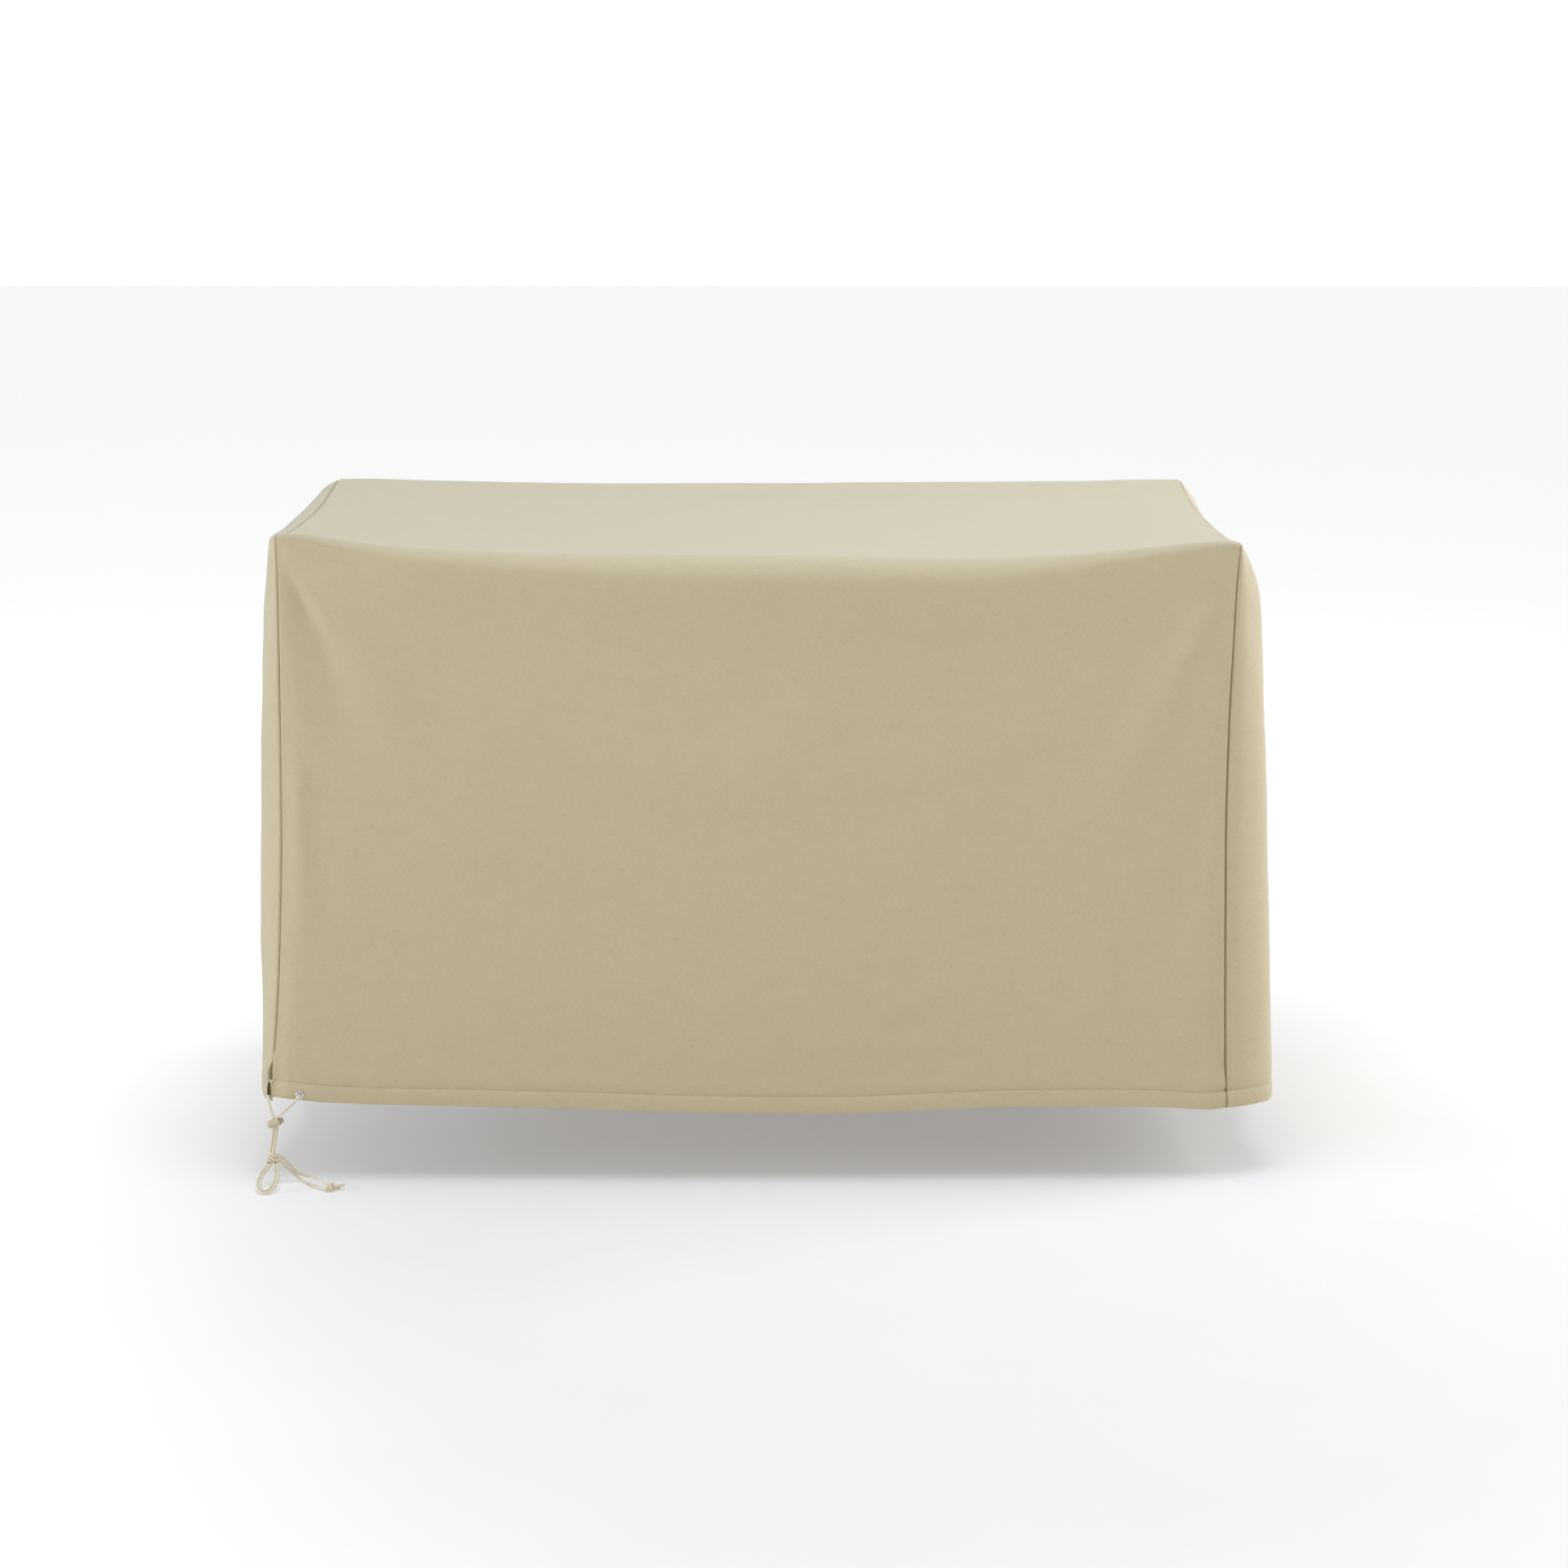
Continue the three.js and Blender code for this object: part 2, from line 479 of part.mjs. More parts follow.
const eyelet = new THREE.LatheGeometry(eyeletSection, 20);
eyelet.applyQuaternion(eyeletTurn).translate(eyeletCell.centre.x, eyeletCell.centre.y, eyeletCell.centre.z);

add("wrap", geometryOf(solid(clothSolid(wrapFace.outer, wrapFace.inner)).subtract(solid(eyeletHole))), COLOUR.cloth, 0.9, 0);
add("end_left", clothSolid(endFace.left.outer, endFace.left.inner), COLOUR.side, 0.9, 0);
add("end_right", clothSolid(endFace.right.outer, endFace.right.inner), COLOUR.side, 0.9, 0);
add("eyelet_front", eyelet, COLOUR.metal, 0.3, 1);

// ---------------------------------------------------------------- drawcord
// Each free stretch is a tube along its route. The ends that go into a knot are
// let into it by a socket of the same route, a little wider.
function tube(rows, steps, diameter, reach) {
  const points = rows.map((p) => new THREE.Vector3(p.x, p.y, p.z));
  const last = points.length - 1;
  const first = points[0].clone().sub(points[1]).setLength(reach);
  const end = points[last].clone().sub(points[last - 1]).setLength(reach);
  points[0].add(first);
  points[last].add(end);
  const route = new THREE.CatmullRomCurve3(points, false, "centripetal");
  const section = new THREE.Shape(Array.from({ length: CORD_SIDES }, (_, k) => {
    const a = (k / CORD_SIDES) * 2 * Math.PI;
    return new THREE.Vector2(Math.cos(a) * diameter / 2, Math.sin(a) * diameter / 2);
  }));
  return new THREE.ExtrudeGeometry(section, { steps, bevelEnabled: false, extrudePath: route });
}
const SOCKET_GAP = 0.4;
const stretches = {};
function cord(name, rows, steps) {
  stretches[name] = () => solid(tube(rows, steps, CORD + 2 * SOCKET_GAP, SOCKET_GAP));
  add(name, tube(rows, steps, CORD, 0), COLOUR.cord, 0.85, 0);
}
// out of the front eyelet and down into the lock
cord("cord_front", [
  { x: -643.4, y: -385.0, z: -753.4 },
  { x: -643.7, y: -392.0, z: -754.6 },
  { x: -647.4, y: -396.4, z: -758.8 },
  { x: -656.0, y: -398.2, z: -767.0 },
  { x: -666.0, y: -398.6, z: -776.6 },
  { x: -672.0, y: -397.4, z: -781.4 },
  { x: -675.2, y: -395.0, z: -785.4 },
  { x: -675.6, y: -394.5, z: -790.6 },
], 10);
// out of the open end of the end panel's hem and down into the lock
cord("cord_side", [
  { x: -687.6, y: -384.4, z: -760.6 },
  { x: -687.0, y: -386.6, z: -764.6 },
  { x: -685.2, y: -388.4, z: -770.6 },
  { x: -682.2, y: -391.2, z: -779.3 },
  { x: -680.2, y: -393.6, z: -785.6 },
  { x: -679.9, y: -394.5, z: -790.0 },
], 5);
// both strands from the lock to the upper knot
cord("cord_pair_left", [
  { x: -679.7, y: -394.5, z: -794.6 },
  { x: -679.9, y: -394.5, z: -801.0 },
  { x: -681.3, y: -394.4, z: -811.0 },
  { x: -683.6, y: -394.8, z: -824.0 },
  { x: -685.3, y: -395.6, z: -833.6 },
  { x: -685.4, y: -396.0, z: -837.0 },
], 5);
cord("cord_pair_right", [
  { x: -675.3, y: -394.5, z: -794.6 },
  { x: -675.5, y: -394.6, z: -801.0 },
  { x: -676.8, y: -395.4, z: -811.0 },
  { x: -679.0, y: -396.6, z: -824.0 },
  { x: -680.7, y: -397.2, z: -833.6 },
  { x: -680.8, y: -397.4, z: -837.0 },
], 5);
// the doubled loop, drawn on a plane that leans forward to the floor
const LOOP = {
  top: new THREE.Vector3(-681.9, -399.6, -849.8),
  low: new THREE.Vector3(-688.4, -453.0, -878.1),
};
const LOOP_OUTER = [
  { along: -2.0, off: 6.5 }, { along: 9.0, off: 8.6 }, { along: 21.0, off: 12.2 },
  { along: 34.5, off: 13.6 }, { along: 47.0, off: 11.8 }, { along: 56.4, off: 6.4 }, { along: 59.4, off: 0 },
];
const LOOP_INNER = [
  { along: -2.0, off: 2.2 }, { along: 9.0, off: 4.2 }, { along: 21.0, off: 7.7 },
  { along: 34.5, off: 9.1 }, { along: 45.2, off: 7.6 }, { along: 52.6, off: 4.0 }, { along: 54.9, off: 0 },
];
function loopRows(half) {
  const down = LOOP.low.clone().sub(LOOP.top).normalize();
  const side = new THREE.Vector3(1, 0, 0);
  side.addScaledVector(down, -side.dot(down)).normalize();
  const at = (r, sign) => LOOP.top.clone().addScaledVector(down, r.along).addScaledVector(side, sign * r.off);
  return half.map((r) => at(r, -1)).concat(half.slice(0, -1).reverse().map((r) => at(r, 1)));
}
cord("cord_loop_outer", loopRows(LOOP_OUTER), 16);
cord("cord_loop_inner", loopRows(LOOP_INNER), 14);
// the doubled tail to the lower knot
cord("cord_tail_upper", [
  { x: -676.4, y: -397.0, z: -838.2 },
  { x: -672.2, y: -396.6, z: -839.4 },
  { x: -668.2, y: -395.4, z: -842.4 },
  { x: -661.0, y: -393.0, z: -851.2 },
  { x: -653.6, y: -389.5, z: -861.4 },
  { x: -648.0, y: -387.6, z: -867.2 },
  { x: -641.4, y: -388.6, z: -869.6 },
  { x: -629.3, y: -398.0, z: -868.6 },
  { x: -616.6, y: -412.0, z: -869.2 },
  { x: -606.4, y: -428.0, z: -870.6 },
  { x: -603.4, y: -432.0, z: -871.2 },
], 10);
cord("cord_tail_lower", [
  { x: -676.8, y: -397.2, z: -843.0 },
  { x: -674.0, y: -397.0, z: -844.4 },
  { x: -670.8, y: -396.4, z: -847.4 },
  { x: -664.0, y: -393.6, z: -856.8 },
  { x: -657.2, y: -390.8, z: -864.4 },
  { x: -650.6, y: -388.8, z: -870.6 },
  { x: -646.2, y: -388.9, z: -875.2 },
  { x: -639.8, y: -393.4, z: -878.2 },
  { x: -624.5, y: -415.6, z: -878.4 },
  { x: -612.3, y: -427.6, z: -878.0 },
  { x: -605.4, y: -433.6, z: -876.6 },
  { x: -602.8, y: -435.6, z: -876.0 },
], 11);
// the two cut ends past the lower knot
cord("cord_end_long", [
  { x: -592.6, y: -433.6, z: -874.0 },
  { x: -589.4, y: -430.8, z: -873.6 },
  { x: -584.6, y: -426.6, z: -873.8 },
  { x: -579.4, y: -421.4, z: -874.4 },
], 3);
cord("cord_end_short", [
  { x: -593.8, y: -430.2, z: -876.4 },
  { x: -591.6, y: -427.6, z: -877.2 },
  { x: -588.4, y: -423.9, z: -878.2 },
  { x: -585.2, y: -420.6, z: -878.4 },
], 3);

// ---------------------------------------------------------------- cord lock
const LOCK = {
  centre: new THREE.Vector3(-677.6, -394.5, -792.1), tilt: 20, radius: 6.0,
  left: 11.6, right: 7.2, gap: 0.4, plunger: 3.8, reach: 12.0, slot: 9.8, slotDeep: 6.0,
};
const lockTurn = new THREE.Quaternion().setFromUnitVectors(
  new THREE.Vector3(0, 1, 0),
  new THREE.Vector3(Math.cos(LOCK.tilt * Math.PI / 180), 0, Math.sin(LOCK.tilt * Math.PI / 180)),
);
const place = (geometry) => geometry.applyQuaternion(lockTurn).translate(LOCK.centre.x, LOCK.centre.y, LOCK.centre.z);
const bodySection = [
  [0, -LOCK.left], [0.45, -LOCK.left + 0.1], [0.75, -LOCK.left + 1.1], [0.93, -LOCK.left + 3.2], [1, -LOCK.left + 6.2],
  [1, LOCK.right - 1], [0.84, LOCK.right], [0, LOCK.right],
].map(([r, y]) => new THREE.Vector2(r * LOCK.radius, y));
const plungerSection = [
  [0, LOCK.right + LOCK.gap], [LOCK.plunger - 0.5, LOCK.right + LOCK.gap], [LOCK.plunger, LOCK.right + LOCK.gap + 0.5],
  [LOCK.plunger, LOCK.reach - 0.8], [LOCK.plunger - 0.8, LOCK.reach], [0, LOCK.reach],
].map(([r, y]) => new THREE.Vector2(r, y));
const slot = new THREE.BoxGeometry(LOCK.slot, LOCK.slotDeep, 30);
slot.translate(LOCK.centre.x + 0.25, LOCK.centre.y, LOCK.centre.z);
const lockBody = solid(place(new THREE.LatheGeometry(bodySection, 20))).subtract(solid(slot));
add("cord_lock", geometryOf(lockBody), COLOUR.plastic, 0.5, 0);
add("cord_lock_plunger", place(new THREE.LatheGeometry(plungerSection, 16)), COLOUR.plastic, 0.5, 0);

// ---------------------------------------------------------------- knots
function knot(name, centre, radii, tilt, cords) {
  const ball = new THREE.SphereGeometry(1, 14, 10);
  ball.scale(radii.x, radii.y, radii.z);
  ball.rotateY(tilt * Math.PI / 180);
  ball.translate(centre.x, centre.y, centre.z);
  let body = solid(ball);
  for (const c of cords) body = body.subtract(stretches[c]());
  add(name, geometryOf(body), COLOUR.cord, 0.85, 0);
}
knot("knot_upper", { x: -681.2, y: -397.2, z: -843.2 }, { x: 9.4, y: 6.6, z: 9.0 }, 35, [
  "cord_pair_left", "cord_pair_right", "cord_loop_outer", "cord_loop_inner", "cord_tail_upper", "cord_tail_lower",
]);
knot("knot_lower", { x: -597.7, y: -435.4, z: -873.4 }, { x: 7.4, y: 6.8, z: 6.9 }, 0, [
  "cord_tail_upper", "cord_tail_lower", "cord_end_long", "cord_end_short",
]);

export default group;
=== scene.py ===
# A loose outdoor cover for a storage box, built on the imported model's frame:
# a long cloth panel that makes the front, the top and the back, two end panels,
# their hems and seams, and a drawcord with its eyelet, lock and knots.
# Lengths are in millimetres up to the moment a mesh or curve is made.
import math

import bmesh
import bpy
import numpy as np
from mathutils import Matrix, Vector


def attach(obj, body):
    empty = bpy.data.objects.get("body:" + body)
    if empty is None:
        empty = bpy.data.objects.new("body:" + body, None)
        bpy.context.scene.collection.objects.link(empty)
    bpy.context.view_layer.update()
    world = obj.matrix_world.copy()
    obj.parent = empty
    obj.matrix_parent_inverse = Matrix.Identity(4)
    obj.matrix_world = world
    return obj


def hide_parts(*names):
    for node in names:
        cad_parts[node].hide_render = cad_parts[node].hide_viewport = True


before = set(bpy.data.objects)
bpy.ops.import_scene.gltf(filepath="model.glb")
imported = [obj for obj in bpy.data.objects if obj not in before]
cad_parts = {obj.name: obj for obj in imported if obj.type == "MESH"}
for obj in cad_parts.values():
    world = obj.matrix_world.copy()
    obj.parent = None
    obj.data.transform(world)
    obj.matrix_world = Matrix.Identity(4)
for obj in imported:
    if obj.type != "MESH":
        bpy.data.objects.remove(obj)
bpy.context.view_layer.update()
MM = 0.001

# ---------------------------------------------------------------- camera
FLOOR_Z = -0.8805
YAW, PITCH, ROLL = 0.00532, 0.18305, 0.00075
FOCAL_PX, IMAGE_PX = 4500.0, 1932.0
cam_data = bpy.data.cameras.new("camera")
cam_data.sensor_fit = "HORIZONTAL"
cam_data.sensor_width = 36.0
cam_data.lens = 36.0 * FOCAL_PX / IMAGE_PX
cam_data.clip_end = 200.0
camera = bpy.data.objects.new("camera", cam_data)
bpy.context.scene.collection.objects.link(camera)
look = Vector((math.sin(YAW) * math.cos(PITCH), math.cos(YAW) * math.cos(PITCH), -math.sin(PITCH)))
side = Vector((math.cos(YAW), -math.sin(YAW), 0.0))
rise_dir = side.cross(look)
right = side * math.cos(ROLL) + rise_dir * math.sin(ROLL)
upward = rise_dir * math.cos(ROLL) - side * math.sin(ROLL)
turn = Matrix((right, upward, -look)).transposed()
camera.matrix_world = Matrix.Translation((0.00813, -5.33934, 0.60528)) @ turn.to_4x4()
bpy.context.scene.camera = camera


# ---------------------------------------------------------------- node helpers
def new_material(name):
    mat = bpy.data.materials.new(name)
    mat.use_nodes = True
    nodes, links = mat.node_tree.nodes, mat.node_tree.links
    return mat, nodes, links, nodes["Principled BSDF"]


def math_node(nodes, links, kind, a, b=None):
    node = nodes.new("ShaderNodeMath")
    node.operation = kind
    for i, v in enumerate((a, b)):
        if v is None:
            continue
        if isinstance(v, (int, float)):
            node.inputs[i].default_value = v
        else:
            links.new(v, node.inputs[i])
    return node.outputs[0]


def noise_node(nodes, links, vector, scale, detail=2.0, rough=0.5):
    node = nodes.new("ShaderNodeTexNoise")
    node.inputs["Scale"].default_value = scale
    node.inputs["Detail"].default_value = detail
    node.inputs["Roughness"].default_value = rough
    links.new(vector, node.inputs["Vector"])
    return node.outputs["Fac"]


def stretch(nodes, links, vector, scale, shift=(0, 0, 0)):
    node = nodes.new("ShaderNodeMapping")
    node.inputs["Scale"].default_value = scale
    node.inputs["Location"].default_value = shift
    links.new(vector, node.inputs["Vector"])
    return node.outputs[0]


def ramp(nodes, links, fac, stops):
    node = nodes.new("ShaderNodeValToRGB")
    while len(node.color_ramp.elements) < len(stops):
        node.color_ramp.elements.new(0.5)
    for e, (at, rgb) in zip(node.color_ramp.elements, stops):
        e.position = at
        e.color = (*rgb, 1.0)
    links.new(fac, node.inputs["Fac"])
    return node.outputs["Color"]


def bump(nodes, links, height, strength, distance, normal=None):
    node = nodes.new("ShaderNodeBump")
    node.inputs["Strength"].default_value = strength
    node.inputs["Distance"].default_value = distance
    links.new(height, node.inputs["Height"])
    if normal is not None:
        links.new(normal, node.inputs["Normal"])
    return node.outputs["Normal"]


# ---------------------------------------------------------------- materials
WEAVE = 0.62          # mm between threads
CLOTH_DARK = (0.556, 0.449, 0.272)
CLOTH_MID = (0.609, 0.498, 0.309)
CLOTH_PALE = (0.659, 0.545, 0.345)


def cloth_material():
    mat, nodes, links, bsdf = new_material("woven_cloth")
    uv = nodes.new("ShaderNodeUVMap")
    uv.uv_map = "cloth"
    sep = nodes.new("ShaderNodeSeparateXYZ")
    links.new(uv.outputs[0], sep.inputs[0])
    u, v = sep.outputs[0], sep.outputs[1]
    k = math.pi / (WEAVE * MM)
    # plain weave: threads pass over and under in turn, each a little uneven
    wobble = noise_node(nodes, links, stretch(nodes, links, uv.outputs[0], (90, 90, 1)), 1.0, 2.0)
    shift = math_node(nodes, links, "MULTIPLY", math_node(nodes, links, "SUBTRACT", wobble, 0.5), 1.6)
    su = math_node(nodes, links, "SINE", math_node(nodes, links, "ADD", math_node(nodes, links, "MULTIPLY", u, k), shift))
    sv = math_node(nodes, links, "SINE", math_node(nodes, links, "ADD", math_node(nodes, links, "MULTIPLY", v, k), shift))
    weave = math_node(nodes, links, "MULTIPLY", su, sv)
    # thicker and thinner threads, as short streaks along both directions
    slub_u = noise_node(nodes, links, stretch(nodes, links, uv.outputs[0], (120, 760, 1)), 1.0, 3.0, 0.65)
    slub_v = noise_node(nodes, links, stretch(nodes, links, uv.outputs[0], (720, 150, 1), (3, 7, 0)), 1.0, 3.0, 0.65)
    slubs = math_node(nodes, links, "ADD", math_node(nodes, links, "MULTIPLY", slub_u, 0.6), math_node(nodes, links, "MULTIPLY", slub_v, 0.4))
    # soft mottling of the finish
    mottle = noise_node(nodes, links, stretch(nodes, links, uv.outputs[0], (26, 48, 1), (11, 2, 0)), 1.0, 5.0, 0.62)
    shade = math_node(nodes, links, "ADD", math_node(nodes, links, "MULTIPLY", slubs, 0.74), math_node(nodes, links, "MULTIPLY", mottle, 0.16))
    shade = math_node(nodes, links, "ADD", shade, math_node(nodes, links, "MULTIPLY", weave, 0.05))
    colour = ramp(nodes, links, shade, [(0.28, CLOTH_DARK), (0.46, CLOTH_MID), (0.66, CLOTH_PALE)])
    # painted shade: near the stitching of every seam the cloth's colour is darkened, standing in for the shade in the
    # hollow along the seam
    seam_painted_shade = nodes.new("ShaderNodeUVMap")
    seam_painted_shade.uv_map = "seam_painted_shade"
    seam_painted_shade_parts = nodes.new("ShaderNodeSeparateXYZ")
    links.new(seam_painted_shade.outputs[0], seam_painted_shade_parts.inputs[0])
    lit = nodes.new("ShaderNodeCombineXYZ")
    for i, loss in enumerate((0.62, 0.71, 0.80)):
        links.new(math_node(nodes, links, "SUBTRACT", 1.0, math_node(nodes, links, "MULTIPLY", seam_painted_shade_parts.outputs[0], loss)), lit.inputs[i])
    shaded = nodes.new("ShaderNodeVectorMath")
    shaded.operation = "MULTIPLY"
    links.new(colour, shaded.inputs[0])
    links.new(lit.outputs[0], shaded.inputs[1])
    links.new(shaded.outputs[0], bsdf.inputs["Base Color"])
    fine = bump(nodes, links, weave, 0.55, 0.00016)
    streak = bump(nodes, links, slubs, 0.5, 0.00045, fine)
    crumple = noise_node(nodes, links, stretch(nodes, links, uv.outputs[0], (70, 110, 1), (5, 5, 0)), 1.0, 4.0, 0.55)
    soft = bump(nodes, links, crumple, 0.12, 0.0012, streak)
    links.new(soft, bsdf.inputs["Normal"])
    bsdf.inputs["Roughness"].default_value = 0.8
    bsdf.inputs["Specular IOR Level"].default_value = 0.3
    bsdf.inputs["Sheen Weight"].default_value = 0.30
    bsdf.inputs["Sheen Roughness"].default_value = 0.45
    bsdf.inputs["Sheen Tint"].default_value = (1.0, 1.0, 1.0, 1.0)
    return mat


def cord_material():
    mat, nodes, links, bsdf = new_material("braided_cord")
    uv = nodes.new("ShaderNodeUVMap")
    uv.uv_map = "cloth"
    sep = nodes.new("ShaderNodeSeparateXYZ")
    links.new(uv.outputs[0], sep.inputs[0])
    ku, kv = 4 * 2 * math.pi, 2 * math.pi / 0.0024
    a = math_node(nodes, links, "MULTIPLY", sep.outputs[0], ku)
    b = math_node(nodes, links, "MULTIPLY", sep.outputs[1], kv)
    # painted shade: the cord's colour is a little darker in the grooves between its strands, in step with the tube's
    # relief
    strand_groove_painted_shade = math_node(nodes, links, "MULTIPLY",
                      math_node(nodes, links, "COSINE", math_node(nodes, links, "ADD", a, b)),
                      math_node(nodes, links, "COSINE", math_node(nodes, links, "SUBTRACT", a, b)))
    fibre = noise_node(nodes, links, stretch(nodes, links, uv.outputs[0], (30, 2600, 1)), 1.0, 3.0, 0.6)
    patch = noise_node(nodes, links, stretch(nodes, links, uv.outputs[0], (1.5, 60, 1)), 1.0, 2.0)
    shade = math_node(nodes, links, "ADD", math_node(nodes, links, "MULTIPLY", strand_groove_painted_shade, 0.07), math_node(nodes, links, "MULTIPLY", fibre, 0.5))
    shade = math_node(nodes, links, "ADD", shade, math_node(nodes, links, "MULTIPLY", patch, 0.4))
    colour = ramp(nodes, links, shade, [(0.18, (0.56, 0.455, 0.30)), (0.42, (0.78, 0.675, 0.485)), (0.70, (0.90, 0.81, 0.62))])
    links.new(colour, bsdf.inputs["Base Color"])
    links.new(bump(nodes, links, fibre, 0.5, 0.0003), bsdf.inputs["Normal"])
    bsdf.inputs["Roughness"].default_value = 0.72
    bsdf.inputs["Specular IOR Level"].default_value = 0.3
    bsdf.inputs["Sheen Weight"].default_value = 0.18
    bsdf.inputs["Sheen Roughness"].default_value = 0.4
    return mat


def thread_material(name, dark, pale):
    mat, nodes, links, bsdf = new_material(name)
    geo = nodes.new("ShaderNodeTexCoord")
    fibre = noise_node(nodes, links, geo.outputs["Object"], 900.0, 2.0)
    colour = ramp(nodes, links, fibre, [(0.3, dark), (0.7, pale)])
    links.new(colour, bsdf.inputs["Base Color"])
    links.new(bump(nodes, links, fibre, 0.4, 0.0002), bsdf.inputs["Normal"])
    bsdf.inputs["Roughness"].default_value = 0.7
    return mat


def metal_material():
    mat, nodes, links, bsdf = new_material("plated_metal")
    geo = nodes.new("ShaderNodeTexCoord")
    scratch = noise_node(nodes, links, stretch(nodes, links, geo.outputs["Object"], (300, 300, 1400)), 1.0, 4.0, 0.6)
    tarnish = noise_node(nodes, links, geo.outputs["Object"], 260.0, 3.0)
    colour = ramp(nodes, links, tarnish, [(0.3, (0.60, 0.60, 0.595)), (0.7, (0.80, 0.80, 0.79))])
    links.new(colour, bsdf.inputs["Base Color"])
    rough = nodes.new("ShaderNodeMapRange")
    rough.inputs["To Min"].default_value = 0.16
    rough.inputs["To Max"].default_value = 0.36
    links.new(scratch, rough.inputs["Value"])
    links.new(rough.outputs[0], bsdf.inputs["Roughness"])
    links.new(bump(nodes, links, scratch, 0.15, 0.00008), bsdf.inputs["Normal"])
    bsdf.inputs["Metallic"].default_value = 1.0
    return mat


def plastic_material(name, dark, pale):
    mat, nodes, links, bsdf = new_material(name)
    geo = nodes.new("ShaderNodeTexCoord")
    grain = noise_node(nodes, links, geo.outputs["Object"], 2600.0, 2.0)
    flow = noise_node(nodes, links, stretch(nodes, links, geo.outputs["Object"], (90, 90, 160)), 1.0, 3.0)
    colour = ramp(nodes, links, flow, [(0.25, dark), (0.75, pale)])
    links.new(colour, bsdf.inputs["Base Color"])
    links.new(bump(nodes, links, grain, 0.25, 0.00006), bsdf.inputs["Normal"])
    bsdf.inputs["Roughness"].default_value = 0.42
    bsdf.inputs["Specular IOR Level"].default_value = 0.45
    return mat


CLOTH_MAT = cloth_material()
CORD_MAT = cord_material()
THREAD_MAT = thread_material("sewing_thread", (0.40, 0.32, 0.205), (0.50, 0.41, 0.27))
TACK_MAT = thread_material("sewing_thread_pale", (0.74, 0.67, 0.52), (0.86, 0.80, 0.66))
METAL_MAT = metal_material()
LOCK_MAT = plastic_material("moulded_plastic", (0.56, 0.455, 0.305), (0.65, 0.535, 0.37))
PLUNGER_MAT = plastic_material("moulded_plastic_dark", (0.42, 0.335, 0.22), (0.50, 0.41, 0.28))


# ---------------------------------------------------------------- mesh helpers
def mesh_object(name, verts, faces, mat, uv=None, smooth=True, seam_painted_shade=None):
    """A mesh from points in millimetres; unused points are dropped."""
    verts = np.asarray(verts, float)
    used = np.zeros(len(verts), bool)
    flat = np.fromiter((i for f in faces for i in f), dtype=np.int64)
    used[flat] = True
    where = np.cumsum(used) - 1
    me = bpy.data.meshes.new(name)
    me.from_pydata((verts[used] * MM).tolist(), [], [tuple(int(where[i]) for i in f) for f in faces])
    if uv is not None:
        layer = me.uv_layers.new(name="cloth")
        index = np.zeros(len(me.loops), np.int32)
        me.loops.foreach_get("vertex_index", index)
        layer.data.foreach_set("uv", np.asarray(uv, np.float32)[used][index].ravel())
        # a second UV map carries the weight of the painted seam shade
        if seam_painted_shade is not None:
            both = np.stack([seam_painted_shade, 0 * seam_painted_shade], -1).astype(np.float32)
            me.uv_layers.new(name="seam_painted_shade").data.foreach_set("uv", both[used][index].ravel())
    me.polygons.foreach_set("use_smooth", np.full(len(me.polygons), smooth))
    me.materials.append(mat)
    me.validate()
    me.update()
    obj = bpy.data.objects.new(name, me)
    bpy.context.scene.collection.objects.link(obj)
    return obj


def add_piece(obj, slot, *nodes):
    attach(obj, "root")
    if nodes:
        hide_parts(*nodes)
    return obj


# ---------------------------------------------------------------- drawcord
CORD = 4.0
BRAID_LONG = 2.4      # mm of one diamond of the braid
BRAID_HIGH = 0.055


def smooth_route(points, step):
    """Centripetal Catmull-Rom through the points, resampled to even steps."""
    p = np.asarray(points, float)
    p = np.vstack([2 * p[0] - p[1], p, 2 * p[-1] - p[-2]])
    out = []
    for i in range(1, len(p) - 2):
        p0, p1, p2, p3 = p[i - 1], p[i], p[i + 1], p[i + 2]
        t0 = 0.0
        t1 = t0 + max(1e-6, np.linalg.norm(p1 - p0)) ** 0.5
        t2 = t1 + max(1e-6, np.linalg.norm(p2 - p1)) ** 0.5
        t3 = t2 + max(1e-6, np.linalg.norm(p3 - p2)) ** 0.5
        t = np.linspace(t1, t2, 24, endpoint=False)[:, None]
        a1 = (t1 - t) / (t1 - t0) * p0 + (t - t0) / (t1 - t0) * p1
        a2 = (t2 - t) / (t2 - t1) * p1 + (t - t1) / (t2 - t1) * p2
        a3 = (t3 - t) / (t3 - t2) * p2 + (t - t2) / (t3 - t2) * p3
        b1 = (t2 - t) / (t2 - t0) * a1 + (t - t0) / (t2 - t0) * a2
        b2 = (t3 - t) / (t3 - t1) * a2 + (t - t1) / (t3 - t1) * a3
        out.append((t2 - t) / (t2 - t1) * b1 + (t - t1) / (t2 - t1) * b2)
    line = np.vstack(out + [p[-2][None]])
    far = np.concatenate([[0], np.cumsum(np.linalg.norm(np.diff(line, axis=0), axis=1))])
    count = max(2, int(round(far[-1] / step)))
    at = np.linspace(0, far[-1], count + 1)
    return np.stack([np.interp(at, far, line[:, k]) for k in range(3)], 1), far[-1]


